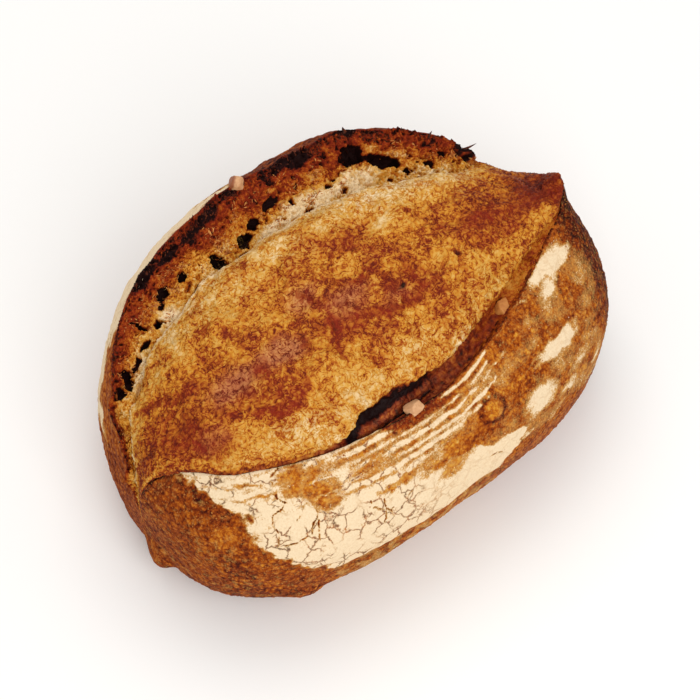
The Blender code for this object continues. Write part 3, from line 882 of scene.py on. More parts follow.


# Marks on the bloom: where it is baked darker and paler, folded, painted with a pinkish sheen, and pitted,
# with painted shade in the pits. BLOOM_BAKE is how far it is baked from the crease over to the valley, and
# LEDGE_FOOT how far up it the ledge reaches.
DARK_BLOOM = (
    Line(ARCH, ((-0.70, 0.56), (-0.74, 0.56), (-0.78, 0.62), (-0.85, 0.80)), 4.0, 0.30),
    Line(ARCH, ((-0.60, 0.36), (-0.56, 0.36), (-0.50, 0.30), (-0.42, 0.34), (-0.35, 0.38)), 4.0, 0.34),
    Line(ARCH, ((-0.54, 0.70), (-0.50, 0.64), (-0.46, 0.56)), 4.0, 0.22),
    Line(ARCH, ((-0.20, 0.58), (-0.165, 0.50), (-0.20, 0.43), (-0.25, 0.34)), 3.4, 0.34),
    Line(ARCH, ((-0.30, 0.51), (-0.31, 0.42), (-0.34, 0.38)), 3.2, 0.26),
    Line(ARCH, ((-0.14, 0.58), (-0.02, 0.51), (0.05, 0.50), (0.13, 0.52)), 3.0, 0.30),
    Line(
        ARCH, ((-0.10, 0.45), (-0.02, 0.42), (0.06, 0.38), (0.14, 0.38), (0.20, 0.38), (0.25, 0.32)), 4.6,
        0.26,
    ),
    *dabs(
        ARCH,
        (-0.47, 0.47, 7, 5, 0, 0.22), (-0.66, 0.54, 10, 7, 0, 0.14), (-0.82, 0.38, 16, 12, 0, 0.14),
        (-0.74, 0.26, 16, 8, 0, 0.12), (0.50, 0.45, 15, 9, 0, 0.16), (0.70, 0.38, 18, 12, 0, 0.16),
        (0.82, 0.35, 16, 16, 0, 0.16), (0.08, 0.62, 14, 10, 0, 0.07), (0.36, 0.49, 6, 2.4, 0, 0.26),
        (0.09, 0.40, 4, 4, 0, 0.22), (-0.13, 0.82, 6, 2.5, 0, 0.18), (0.05, 0.68, 5, 2.5, 0, 0.16),
        (-0.17, 0.44, 16, 12, 0, 0.10), (0.22, 0.26, 10, 6, 0, 0.12),
    ),
)
PALE_BLOOM = dabs(
    ARCH,
    (-0.45, 0.20, 26, 9, 0, 0.18), (-0.20, 0.22, 24, 8, 0, 0.09), (0.02, 0.27, 22, 9, 0, 0.09),
    (-0.72, 0.14, 18, 5, 0, 0.16), (-0.43, 0.08, 10, 4, 0, 0.22), (-0.24, 0.15, 12, 3.5, 0, 0.12),
    (0.17, 0.11, 13, 5, 0, 0.40), (0.24, 0.60, 12, 9, 0, 0.10), (0.26, 0.50, 10, 8, 0, 0.10),
    (-0.13, 0.72, 15, 9, 0, 0.12), (-0.56, 0.44, 17, 9, 0, 0.10), (-0.22, 0.45, 7, 3.5, 60, 0.14),
    (-0.50, 0.27, 14, 7, 0, 0.20), (-0.87, 0.70, 8, 8, 0, 0.12),
)
BLOOM_BAKE = (
    (0, 0.40), (0.10, 0.38), (0.22, 0.38), (0.34, 0.46), (0.46, 0.53), (0.58, 0.49), (0.70, 0.43),
    (0.84, 0.38), (0.92, 0.30), (1, 0.25),
)
FOLDED_BLOOM = dabs(
    ARCH,
    (-0.10, 0.47, 34, 17, 0, 1.0), (0.16, 0.42, 20, 13, 0, 0.9), (-0.50, 0.42, 26, 18, 0, 1.0),
    (-0.76, 0.42, 22, 20, 0, 1.0), (0.56, 0.42, 22, 16, 0, 0.7), (0.80, 0.38, 20, 20, 0, 0.8),
    (0.10, 0.66, 22, 12, 0, 0.5), (-0.34, 0.62, 14, 9, 0, 0.4),
)
PAINTED_SHEEN_MARKS = dabs(
    ARCH,
    (-0.57, 0.48, 20, 11, 0, 1.3), (-0.38, 0.48, 15, 10, 0, 1.5), (-0.20, 0.55, 12, 10, 0, 1.0),
    (-0.08, 0.49, 18, 10, 0, 0.9), (-0.75, 0.33, 14, 9, 0, 0.5), (0.08, 0.42, 12, 7, 0, 0.5),
)
BLOOM_PITS = dabs(
    ARCH,
    (0.12, 0.435, 3.4, 2.4, 0, 2.2), (0.34, 0.40, 2.0, 3.2, 0, 1.6), (0.17, 0.20, 3.2, 2.6, 0, 1.2),
    (-0.05, 0.15, 3.4, 2.6, 0, 1.2), (0.52, 0.20, 2.4, 1.6, 0, 1.0), (0.38, 0.06, 1.2, 1.2, 0, 1.2),
    (0.255, 0.53, 3.0, 2.0, 0, 0.7), (0.33, 0.86, 1.6, 0.9, 0, 1.0), (0.37, 0.82, 1.6, 0.8, 0, 1.0),
    (0.52, 0.90, 3.4, 1.2, 0, 1.4), (-0.45, 0.90, 4.0, 1.4, 20, 1.4),
)
LEDGE_FOOT = (
    (-1, 0.0), (-0.62, 0.02), (-0.45, 0.03), (-0.37, 0.06), (-0.29, 0.15), (-0.15, 0.15), (0, 0.11),
    (0.12, 0.07), (0.3, 0.05), (0.42, 0.03), (1, 0.0),
)


@dataclass
class Bloom(Sheet):
    """The bloom that rose out of the score, from the ledge under the lip over to the valley behind it."""

    name: str = "bloom_crust"
    step: float = 0.70
    thickness: float = 6.0
    spans: tuple[Span, ...] = (
        Span(NEAR, TUCK_START, 1.0, 0.9),
        Span(Zone.LEDGE, 0.0, 1.0, 0.7),
        Span(ARCH, 0.0, 1.0, 0.68),
        Span(TORN, 0.0, REAR_END, 0.8),
    )
    waver_reach: float = 2.0
    worm_size: float = 1.8
    worm_height: float = 0.50
    fine_height: float = 0.14
    dimple_size: float = 3.6
    dimple_height: float = 0.5
    pore_spacing: float = 5.0
    pore_depth: float = 0.5
    fold_depth: float = 0.45
    dark_depth: float = 2.0
    trench_depth: float = 1.6
    hollow_depth: float = 2.4
    lip_gap: float = 1.5
    edge_roll: float = 5.0
    most_gold: float = 0.60

    def part_depth(self) -> Array:
        """The bloom's own swells and blisters, and the plain crust's under the lip."""
        p = self.points * MM
        bloom = (swell(p, *self.form.bloom_swell) + swell(p, *self.form.bloom_blister)) / MM
        plain = super().part_depth()
        arch = self.is_zone(ARCH, TORN)
        share = np.where(self.is_zone(TORN) > 0, 1, self.share)
        weight = arch * ramp(share, 0, 0.12)
        return plain + (bloom - plain) * weight

    def shape(self) -> None:
        """The wormy grain of torn dough, its folds and pits, how dark each place is baked, and its painted
        light and shade.
        """
        p, station, share = self.points, self.station, self.share
        arch, rear = self.is_zone(ARCH), self.is_zone(TORN)
        ledge, tuck = self.is_zone(Zone.LEDGE), self.is_zone(NEAR)
        over = np.where(arch > 0, share, rear)
        bent = waver(p, 7, 41, self.waver_reach)

        # The trench is the torn ledge at the bloom's foot. Its deep part, and the inner part of the ledge, is
        # the hollow under the bloom's edge and the lip, which is painted black as their shadow.
        foot = eased(LEDGE_FOOT, station) + 0.02 * grain(p, 3, 44, 2)
        trench = arch * ramp(over - foot, 0.02, -0.03) + ledge * 1.0
        shadowed_hollow = ramp(over - foot, -0.12, -0.06) * trench * arch + 0.8 * ledge * ramp(share, 0.6, 1.0)
        shadowed_hollow *= ramp(station, -0.42, -0.34) * ramp(station, 0.06, -0.08)

        # Worms, pores, folds and pits, and the dark marks, which lie a little lower.
        worms = 1 - 2 * np.abs(grain(p, self.worm_size, 45, 2))
        fine = grain(p, 1.3, 46)
        dimples = grain(bent, self.dimple_size, 47, 2)
        pits = marks(self.form, bent, BLOOM_PITS)
        dark = marks(self.form, bent + 1.6 * fine[..., None], DARK_BLOOM)
        first, _ = cells(bent, self.pore_spacing, 48)
        pores = ramp(first, 0.16, 0.05) * ramp(grain(p, 10, 49), -0.1, 0.4)
        field = np.clip(marks(self.form, bent, FOLDED_BLOOM), 0, 1)
        creases = ramp(np.abs(grain(bent + 1.2 * fine[..., None], 13, 54, 3)), 0.26, 0.02)
        creases = np.maximum(creases, 0.8 * ramp(np.abs(grain(bent, 6, 56, 3)), 0.24, 0.02))
        folded = creases * (0.20 + 0.80 * field) * arch
        folded = folded * ramp(grain(p, 16, 55), -0.7, -0.1) * ramp(over, 0.80, 0.60)
        relief = self.worm_height * worms * (1 - 0.6 * trench) + self.fine_height * fine
        relief = relief + self.dimple_height * dimples
        relief -= (
            1.0 * pits + self.dark_depth * dark * arch + self.pore_depth * pores + self.fold_depth * folded
        )
        relief -= self.trench_depth * trench * arch * ramp(over, 0, 0.03) + self.hollow_depth * shadowed_hollow
        relief += 0.5 * grain(p, 2.2, 50, 2) * trench
        self.lift(relief)

        # It is tucked in under the lip, and rolls down behind the valley.
        under_lip = 1 - (share - TUCK_START) / (1 - TUCK_START)
        gap = self.lip_gap * (0.30 + 0.70 * open_score(station))
        self.sink(gap * (tuck * (1 + 8 * under_lip) + ledge * ramp(share, 0.9, 0.2)))
        self.sink(self.edge_roll * rear * (share / REAR_END) ** 1.5)

        # How far it is baked, from its gold to the dark and pale marks, with a paler back and rear edge.
        # Painted light and
        # shade go in with it: paler worm tops, darker pits and pores, and the black painted shadow in the
        # hollow.
        bake_and_painted_light = eased(BLOOM_BAKE, np.clip(over + 0.05 * grain(bent, 18, 57, 2), 0, 1))
        bake_and_painted_light += 0.09 * ramp(station, -0.55, -0.80) + 0.10 * ramp(station, 0.30, 0.65)
        patches = 0.6 * grain(bent, 22, 51, 2) + 0.9 * grain(bent, 9, 52, 3)
        # The worms' tops are painted paler, a painted highlight.
        bake_and_painted_light += 0.17 * patches - 0.06 * worms
        # The pinkish marks are a painted sheen.
        painted_sheen = np.clip(marks(self.form, bent, PAINTED_SHEEN_MARKS), 0, 1)
        bake_and_painted_light += 0.04 * field + 0.30 * folded + 0.05 * painted_sheen
        pale = marks(self.form, bent, PALE_BLOOM)
        # The pits and pores are painted darker, as painted shade in them.
        bake_and_painted_light += 1.15 * dark - 0.60 * pale + 0.20 * np.clip(pits, 0, 2) + 0.25 * pores
        bake_and_painted_light -= 0.06 * ramp(over, 0.80, 0.97) * ramp(station, 0.75, 0.5)
        bake_and_painted_light = np.where(bake_and_painted_light > self.most_gold, self.most_gold + 0.4 * (bake_and_painted_light - self.most_gold), bake_and_painted_light)
        # More painted shade in the pits.
        bake_and_painted_light = bake_and_painted_light + 0.16 * np.clip(pits, 0, 2)
        back = ramp(over, 0.52, 0.70) * ramp(station, 0.10, 0.28) * ramp(station, 0.80, 0.62)
        bake_and_painted_light -= 0.17 * back + 0.10 * patches * back + 0.05 * ramp(over, 0.62, 0.74) * ramp(station, 0.85, 0.7)
        bake_and_painted_light -= 0.10 * ramp(over, 0.90, 0.99) * ramp(station, 0.25, 0.0)
        bake_and_painted_light += 0.20 * ramp(over, 0.10, 0.03) * ramp(station, -0.45, -0.6) + 0.10 * ramp(station, 0.6, 0.85)
        bake_and_painted_light += 0.12 * rear * (share / REAR_END)
        red = 0.69 + 0.20 * grain(p, 2.6, 53, 3) + 0.05 * worms
        torn_open = np.clip(trench + tuck, 0, 1)
        bake_and_painted_light = bake_and_painted_light + (red - bake_and_painted_light) * torn_open * ramp(station, -0.66, -0.40) * ramp(station, 0.50, 0.36)
        # The hollow under the bloom's edge and the lip is painted near black, as their painted shadow.
        bake_and_painted_light += 0.42 * shadowed_hollow
        # The pinkish painted sheen, kept off the dark marks, and a pinkish tone in the open trench.
        sheen_and_blush = painted_sheen * (1 - np.clip(3 * dark, 0, 1))
        sheen_and_blush = sheen_and_blush + 0.3 * trench * ramp(shadowed_hollow, 0.3, 0.0) * ramp(station, 0.30, 0.0)
        reddened = np.clip(4 * dark, 0, 1) + folded + 0.30 * field + 0.7 * ramp(patches, 0.05, 0.5)
        reddened = reddened * (1 - trench) * (1 - 0.8 * ramp(over, 0.78, 0.95))
        self.layers = {
            "bake_and_painted_light": bake_and_painted_light,
            "mottle": 1.0 + 0.5 * patches + 0.3 * folded - 0.35 * ramp(over, 0.80, 1.0) - 0.4 * trench,
            "flour": 0 * bake_and_painted_light + LEAST_FLOUR,
            "split": 0 * bake_and_painted_light,
            "blush_and_sheen": sheen_and_blush,
            "ember": reddened + 0.7 * trench,
        }


# Marks on the torn face: holes, each with its depth in millimetres as its strength, charred places, pale and
# golden crumb, and the tears at its left end.
HOLES = dabs(
    TORN,
    (-0.290, 0.26, 3.4, 4.8, 10, 7.5), (-0.165, 0.30, 4.6, 3.8, -10, 7.0),
    (-0.105, 0.42, 4.2, 3.2, 0, 3.6), (-0.210, 0.07, 5.5, 1.6, 0, 4.0),
    (-0.590, 0.25, 2.8, 2.8, 0, 6.5), (-0.520, 0.53, 4.6, 3.2, 0, 4.6),
    (-0.545, 0.40, 2.4, 1.8, 30, 2.8), (-0.670, 0.24, 3.2, 1.7, 0, 4.0),
    (-0.645, 0.50, 1.6, 4.0, 0, 3.4), (-0.735, 0.26, 5.0, 1.7, 0, 3.4),
    (-0.790, 0.42, 5.5, 2.4, 20, 4.4), (-0.845, 0.72, 4.2, 3.0, 0, 4.0),
    (-0.430, 0.46, 2.6, 2.4, 0, 4.4), (-0.410, 0.06, 6.0, 1.5, 0, 3.0),
    (0.360, 0.66, 7.0, 5.2, 0, 9.0), (0.450, 0.52, 9.5, 3.8, -12, 9.0),
    (0.000, 0.56, 6.0, 2.4, 0, 2.6), (0.070, 0.43, 2.0, 2.6, 0, 3.6), (0.110, 0.60, 1.6, 1.4, 0, 2.4),
    (0.220, 0.38, 2.0, 1.8, 0, 3.4), (0.260, 0.20, 2.0, 1.8, 0, 3.0), (0.250, 0.44, 1.4, 1.1, 0, 2.4),
    (0.105, 0.17, 2.8, 1.3, 0, 2.6), (0.150, 0.10, 3.2, 1.1, 0, 1.8), (0.040, 0.14, 2.2, 1.4, 0, 2.4),
    (0.010, 0.26, 1.3, 1.0, 0, 2.0), (0.510, 0.33, 2.8, 1.5, 0, 3.2), (0.600, 0.44, 3.2, 1.9, 0, 3.4),
    (0.670, 0.62, 2.2, 1.5, 0, 3.0), (0.560, 0.46, 1.2, 1.0, 0, 2.0), (0.435, 0.20, 1.5, 1.3, 0, 2.4),
    (0.740, 0.55, 2.6, 1.6, 0, 2.6),
)
CHAR = dabs(
    TORN,
    (-0.540, 0.95, 12, 4.5, 0, 0.42), (-0.430, 0.84, 8, 3.5, -8, 0.34),
    (-0.340, 0.84, 8, 3.5, 0, 0.34), (-0.250, 0.90, 9, 4.0, 0, 0.36), (-0.120, 0.96, 9, 3.0, 0, 0.16),
    (0.100, 0.94, 14, 3.6, 0, 0.22), (0.180, 0.92, 9, 4.6, 0, 0.40), (0.390, 0.98, 6, 2.6, 0, 0.36),
    (0.745, 0.85, 6, 4.0, 0, 0.34), (-0.480, 0.60, 6, 4, 0, 0.12), (-0.760, 0.90, 10, 4, 0, 0.10),
)
PALE_CRUMB = dabs(
    TORN,
    (-0.550, 0.16, 12, 7.5, 0, 1.3), (-0.740, 0.08, 18, 4.5, 0, 1.2), (-0.305, 0.05, 9, 5.0, 0, 1.2),
    (0.000, 0.12, 20, 7.5, 0, 1.4), (0.150, 0.24, 18, 9.0, 0, 1.4), (0.320, 0.26, 18, 10.0, 0, 1.5),
    (0.060, 0.36, 12, 6.0, 0, 0.8), (-0.070, 0.20, 12, 6.0, 0, 1.0),
)
GOLD_CRUMB = dabs(
    TORN,
    (0.560, 0.25, 26, 9.0, 0, 1.0), (0.440, 0.72, 8, 5.0, 0, 0.7), (0.500, 0.60, 14, 5.0, 0, 0.8),
    (-0.240, 0.40, 8, 4.0, 0, 0.8), (-0.360, 0.30, 11, 7.0, 0, 0.9), (-0.700, 0.40, 10, 4.0, 0, 0.6),
    (-0.870, 0.50, 8, 5.0, 0, 0.6), (0.200, 0.62, 10, 4.0, 0, 0.6), (0.020, 0.72, 6, 3.0, 0, 0.5),
)
END_TEARS = (
    Line(TORN, ((-0.91, 0.2), (-0.93, 0.5), (-0.915, 0.9)), 1.4, 2.2),
    Line(TORN, ((-0.955, 0.3), (-0.965, 0.6), (-0.975, 0.3)), 1.2, 1.8),
)


@dataclass
class TornEar(Sheet):
    """The torn crumb up the inside of the ear, its ragged rim, and the first of the skin outside it."""

    name: str = "torn_ear"
    step: float = 0.40
    thickness: float = 25.0
    spans: tuple[Span, ...] = (
        Span(TORN, -0.10, 0.0, 0.8),
        Span(TORN, 0.0, 1.0, 0.38),
        Span(Zone.FAR_SIDE, 0.0, 0.20, 0.4),
    )
    waver_reach: float = 1.5
    bubble_sizes: tuple[tuple[float, int], ...] = ((5.4, 64), (3.1, 65), (1.8, 72))
    shred_height: float = 0.9
    deepest_hole: float = 6.5
    hole_edge: float = 0.36
    tooth_height: float = 2.8
    tuck_depth: float = 3.4
    skirt_depth: float = 2.4
    lump: Dab = Dab(TORN, -0.38, 0.36, 12, 9)
    lump_height: float = 1.2
    knob: Dab = Dab(TORN, 0.765, 0.70, 6, 5)
    knob_height: float = 3.0

    def part_depth(self) -> Array:
        """The torn face's crags, and the plain crust's swells outside the rim."""
        p = self.points * MM
        crag = swell(p, *self.form.torn_crag) / MM
        plain = super().part_depth()
        inside = self.is_zone(TORN)
        weight = inside * ramp(self.share, -0.02, 0.12) * ramp(self.share, 1.0, 0.88)
        return plain + (crag - plain) * weight

    def shape(self) -> None:
        """Holes, shreds, the ragged rim, and the colours from pale crumb up to char, with painted shade in the
        holes, bubbles and tears.
        """
        p, station, share = self.points, self.station, self.share
        inside, outside = self.is_zone(TORN), self.is_zone(Zone.FAR_SIDE)
        up = np.where(inside > 0, share, 1)
        bent = waver(p, 4, 61, self.waver_reach)

        # Holes, bubbles and shreds, coarse ones first and fine ones on top of them.
        depth = np.zeros_like(p[..., 0])
        for dab in HOLES:
            depth = np.maximum(depth, dab.over(self.form, bent, self.hole_edge))
        tears = marks(self.form, bent, END_TEARS)
        bubbles = np.zeros_like(depth)
        for size, seed in self.bubble_sizes:
            first, _ = cells(bent, size, seed)
            here = ramp(grain(p, 2.2 * size, seed + 20, 2), -0.15, 0.25)
            bubbles = np.maximum(bubbles, ramp(first, 0.46, 0.12) * here * size * 0.36)
        bubbles *= inside * ramp(up, 0.03, 0.12)
        shreds = 1 - 2 * np.abs(grain(bent * (1.0, 1.6, 1.6), 2.6, 66, 3))
        relief = self.shred_height * shreds + 0.30 * grain(p, 1.3, 67, 2)
        relief = relief - np.minimum(depth, self.deepest_hole) - 1.2 * bubbles - tears
        knob = self.knob.over(self.form, p, 0.8)
        relief += self.lump_height * self.lump.over(self.form, bent) + self.knob_height * knob
        relief *= inside * ramp(up, -0.1, 0.02) + outside * 0.35
        self.lift(relief)
        self.set_normals()
        self.lift(inside * (0.22 * grain(self.points, 0.8, 68, 2)))

        # The ragged rim, and the edges that run in under the bloom and under the far skin.
        teeth = np.abs(grain(np.stack([p[..., 0], 0 * p[..., 0], 0 * p[..., 0]], -1), 2.2, 69, 3))
        at_rim = inside * ramp(up, 0.86, 1.0) + outside * ramp(share, 0.06, 0.0)
        self.points[..., 2] += at_rim * self.tooth_height * (teeth * 2 - 0.6) * ramp(self.width, 0.3, 0.6)
        self.sink(self.tuck_depth * inside * ramp(share, 0.06, -0.06))
        self.lift(-self.skirt_depth * outside * ramp(share, 0.11, 0.20))

        # How far it is baked, from pale crumb low down to char on the rim, with painted shade darkening the
        # holes, bubbles and tears.
        pale = np.clip(marks(self.form, bent, PALE_CRUMB), 0, 1)
        gold = np.clip(marks(self.form, bent, GOLD_CRUMB), 0, 1)
        bake_and_painted_light = 0.46 + 0.32 * ramp(up, 0.30, 0.85) + 0.14 * grain(bent, 7, 70, 3) - 0.16 * shreds
        bake_and_painted_light += (0.19 - 0.10 * shreds - bake_and_painted_light) * gold + 1.6 * marks(self.form, bent, CHAR)
        bake_and_painted_light += (0.02 + 0.08 * grain(p, 3, 71, 2) - bake_and_painted_light) * pale
        bake_and_painted_light += 0.12 * ramp(up, 0.90, 1.0) * inside
        # Painted shade: darker with a hole's depth, in the bubbles and in the tears.
        bake_and_painted_light += 0.80 * ramp(depth, 0.6, 3.0) + 0.20 * bubbles * (1 - 0.5 * pale) + 0.14 * np.clip(tears, 0, 2)
        bake_and_painted_light += 0.08 * outside + 0.30 * knob
        self.layers = {
            "bake_and_painted_light": bake_and_painted_light,
            "mottle": 1.05 - 0.60 * pale,
            "split": 0.3 * outside,
            "flour": outside * ramp(share, 0.09, 0.15) * (far_flour(p, station, share) + 0.5) - 0.5,
            "blush_and_sheen": 0 * pale,
            "ember": ramp(up, 0.30, 0.75) * (1 - pale) * (1.3 - 0.8 * gold),
        }

    def at_rim(self) -> Array:
        """Where flakes of charred crust stand, along the rim."""
        patchy = 0.3 + 0.7 * ramp(grain(self.points, 8, 92, 2), -0.2, 0.3)
        rim = self.is_zone(TORN) * ramp(self.share, 0.80, 0.98) * patchy
        return rim * ramp(self.width, 0.3, 0.5)

    def in_crumb(self) -> Array:
        """Where strands of torn crumb hang, in patches up the face."""
        patchy = ramp(grain(self.points, 7, 93, 2), 0.0, 0.4)
        face = self.is_zone(TORN) * ramp(self.share, 0.05, 0.2) * ramp(self.share, 0.85, 0.7)
        return face * patchy * ramp(self.layers["bake_and_painted_light"], 0.85, 0.7) * ramp(self.width, 0.3, 0.5)


@dataclass
class FarSkin(Sheet):
    """The skin outside the ear, down the far side and under the loaf."""

    name: str = "far_skin"
    step: float = 0.9
    thickness: float = 2.5
    inset: tuple[int, int] = (10, 0)
    spans: tuple[Span, ...] = (
        Span(Zone.FAR_SIDE, 0.09, 1.0, 0.95),
        Span(Zone.FAR_LOWER, 0.0, 0.5, 1.3),
        Span(Zone.FAR_LOWER, 0.5, 1.0, 3.0),
    )
    blister_size: float = 2.6
    blister_height: float = 0.34
    ring_depth: float = 0.22
    edge_depth: float = 2.2
    plain_bake: float = 0.60

    def shape(self) -> None:
        """Blisters and basket rings, with some flour, like the skin that the photograph shows."""
        p, station, share = self.points, self.station, self.share
        side = self.is_zone(Zone.FAR_SIDE)
        down = np.where(side > 0, share, 1)
        rings = waves(travelled(p) + RING_WANDER * grain(p, 9, 81, 2), FAR_RING_SPACING)
        first, _ = cells(p, self.blister_size, 82)
        blisters = ramp(first, 0.75, 0.05) * ramp(grain(p, 4.5, 83, 2), -0.5, 0.5)
        flour = far_flour(p, station, down)
        relief = self.blister_height * blisters + self.ring_depth * rings + 0.4 * grain(p, 7, 86, 3)
        self.lift(relief * ramp(down, 0.09, 0.22) - self.edge_depth * ramp(down, 0.19, 0.09))
        # The blisters are paler: partly their own crust, partly a painted highlight on their tops.
        bake_and_painted_light = self.plain_bake + 0.07 * grain(p, 24, 87, 2) + 0.06 * grain(p, 5, 88, 2) - 0.10 * blisters
        bake_and_painted_light += 0.12 * ramp(down, 0.7, 0.2) * ramp(station, -0.2, 0.0) - 0.02 * (1 - side)
        bake_and_painted_light += (end_bake(p) - bake_and_painted_light) * ramp(np.abs(station), *TIPS)
        plain = 0 * bake_and_painted_light
        self.layers = {
            "bake_and_painted_light": bake_and_painted_light,
            "mottle": plain + 0.72,
            "flour": flour,
            "split": plain + 0.35,
            "blush_and_sheen": plain + 0.1,
            "ember": plain,
        }


# The walnut pieces.


@dataclass(frozen=True)
class WalnutPiece:
    """A broken piece of walnut in the crust: flat broken faces, rounded edges and papery skin on one side.

    The node is the CAD node that it stands for, and the seat is where it sits in the crust and how it is
    turned. Its size and the nudge that moves it from the node's middle are in millimetres. Sharpness is how
    sharp the edges between its faces are, skin_side the direction that keeps the skin, and seed its cuts.
    """

    node: str
    seat: Dab
    size: tuple[float, float, float]
    nudge: tuple[float, float, float]
    sharpness: float
    skin_side: tuple[float, float, float]
    seed: int
    cuts: int = 13
    cut_scatter: float = 0.22
    nearest_cut: float = 0.80
    roughness: float = 0.10
    fine_roughness: float = 0.06

    def axes(self) -> Array:
        """The directions of the piece's length, width and thickness, one to a row."""
        along, across = LoafForm().bearings(self.seat.zone, self.seat.station, self.seat.share)
        angle = math.radians(self.seat.turn)
        first = along * math.cos(angle) + across * math.sin(angle)
        out = np.cross(along, across)
        return np.stack([first, np.cross(out, first), out])

    def broken_reach(self, way: Array) -> Array:
        """How far the piece reaches each way, broken flat on many sides.

        Args:
            way: Directions, one to a row.

        Returns:
            The reach in each direction, 1 on average.
        """
        chance = np.random.default_rng(self.seed)
        height = 1 - 2 * (np.arange(self.cuts) + 0.5) / self.cuts
        angle = np.arange(self.cuts) * math.pi * (3 - math.sqrt(5))
        ring = np.sqrt(1 - height**2)
        cuts = np.stack([ring * np.cos(angle), ring * np.sin(angle), height], 1)
        cuts += chance.normal(size=cuts.shape) * self.cut_scatter
        cuts /= np.linalg.norm(cuts, axis=1, keepdims=True)
        far = chance.uniform(self.nearest_cut, 1.0, self.cuts)
        facing = np.clip(way @ cuts.T, 1e-3, None)
        reach = -np.log(np.sum(np.exp(-self.sharpness * far / facing), 1)) / self.sharpness
        return reach / reach.mean()

    def build(self) -> Object:
        """Makes the piece, a little rough all over, with its papery skin as an attribute."""
        shell = bmesh.new()
        bmesh.ops.create_icosphere(shell, subdivisions=5, radius=1)
        way = np.array([vert.co.normalized() for vert in shell.verts])
        local = way * self.broken_reach(way)[:, None] * self.size / 2
        rough = self.roughness * grain(local, 1.1, self.seed, 2)
        rough = rough + self.fine_roughness * grain(local, 0.5, self.seed + 5)
        local += way * rough[:, None]
        node = self.node
        low, high = (np.array(corner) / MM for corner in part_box(node))
        axes = self.axes()
        places = ((low + high) / 2 + self.nudge + local @ axes) * MM
        for vert, place in zip(shell.verts, places):
            vert.co = place
        mesh = bpy.data.meshes.new(node.replace("walnut", "kernel"))
        shell.to_mesh(mesh)
        shell.free()
        skin = ramp(way @ axes @ self.skin_side + 0.12 * grain(local, 2.0, self.seed + 9, 2), 0.25, 0.55)
        give_layer(mesh, "skin", skin)
        mesh.shade_smooth()
        return in_scene(mesh)

    def dress(self, material: Material) -> None:
        """Builds the piece in its finish, in place of its CAD node."""
        dress(self.build(), material, "walnut", self.node)


RIM_WALNUT = WalnutPiece(
    "walnut_rim", Dab(Zone.FAR_SIDE, -0.085, 0.02, 4, 3, 35), (8.2, 6.8, 5.8), (0.7, -0.8, -1.3),
    8, (-0.66, 0.56, 0.30), 3,
)
LEDGE_WALNUT = WalnutPiece(
    "walnut_ledge", Dab(Zone.LEDGE, -0.130, 0.45, 5, 4, 30), (9.0, 8.2, 6.6), (1.8, -1.5, 0.6),
    26, (0, 0, -1), 4,
)
END_WALNUT = WalnutPiece(
    "walnut_end", Dab(Zone.LEDGE, 0.385, 0.55, 4, 3, 20), (8.6, 6.4, 5.0), (0, 0, -1.2),
    16, (0.5, -0.4, -0.4), 5,
)


# Charred wisps on the ear.


@dataclass(frozen=True)
class Wisp:
    """A thin tip of charred crust: its root on the torn face, where it points, and its length and width."""

    station: float
    share: float
    heading: tuple[float, float, float]
    length: float
    width: float
    curl: float = 0.25


WISPS = (
    Wisp(0.765, 0.95, (0.94, -0.34, 0.06), 9.0, 2.4, 0.2),
    Wisp(0.180, 0.98, (-0.20, 0.60, 0.75), 3.6, 2.0),
    Wisp(0.225, 0.98, (0.10, 0.50, 0.85), 3.0, 1.8),
    Wisp(0.380, 0.99, (-0.10, 0.60, 0.80), 3.6, 3.0),
    Wisp(0.660, 0.97, (0.80, 0.10, 0.45), 3.6, 2.0),
    Wisp(-0.240, 0.95, (0.30, 0.40, 0.85), 3.0, 2.0),
    Wisp(-0.530, 0.97, (-0.60, 0.40, 0.60), 3.0, 2.2),
)


@dataclass(frozen=True)
class CharredWisps:
    """The wisps along the ear as one piece, each a curved cone that starts deep enough to be rooted."""

    form: LoafForm
    wisps: tuple[Wisp, ...] = WISPS
    rings: int = 9
    sides: int = 8
    rooted: float = 1.5
    flatness: float = 0.6
    taper: float = 0.8

    def places(self, wisp: Wisp) -> list[Array]:
        """The points of a wisp, ring by ring from its root, and then its tip.

        Args:
            wisp: The wisp.

        Returns:
            The points in millimetres.
        """
        root = self.form.place(TORN, wisp.station, wisp.share)
        ahead = np.array(wisp.heading) / np.linalg.norm(wisp.heading)
        aside = np.cross(ahead, (0, 0, 1)) / np.linalg.norm(np.cross(ahead, (0, 0, 1)))
        above = np.cross(aside, ahead)
        made = []
        for ring in range(self.rings):
            t = ring / self.rings
            rise = wisp.curl * wisp.length * t * t
            middle = root + ahead * (wisp.length * t - self.rooted) + above * rise
            reach = wisp.width / 2 * (1 - t) ** self.taper
            for side in range(self.sides):
                angle = 2 * math.pi * side / self.sides
                away = math.cos(angle) * aside + self.flatness * math.sin(angle) * above
                made.append(middle + reach * away)
        made.append(root + ahead * (wisp.length - self.rooted) + above * wisp.curl * wisp.length)
        return made

    def faces(self, start: int) -> list[tuple[int, ...]]:
        """The faces of the wisp whose points begin at a number."""
        tip = start + self.rings * self.sides
        last = tip - self.sides
        made = []
        for side in range(self.sides):
            following = (side + 1) % self.sides
            for ring in range(start, last, self.sides):
                a, b = ring + side, ring + following
                made.append((a, a + self.sides, b + self.sides, b))
            made.append((last + side, tip, last + following))
        made.append(tuple(range(start, start + self.sides)))
        return made

    def build(self) -> Object:
        """Makes all the wisps as one object."""
        places, faces = [], []
        for wisp in self.wisps:
            faces += self.faces(len(places))
            places += self.places(wisp)
        mesh = bpy.data.meshes.new("charred_wisps")
        mesh.from_pydata([tuple(place * MM) for place in places], [], faces)
        mesh.shade_smooth()
        return in_scene(mesh)

    def dress(self, material: Material) -> None:
        """Builds the wisps in their finish."""
        dress(self.build(), material, "crust")


# Node trees and their colours.


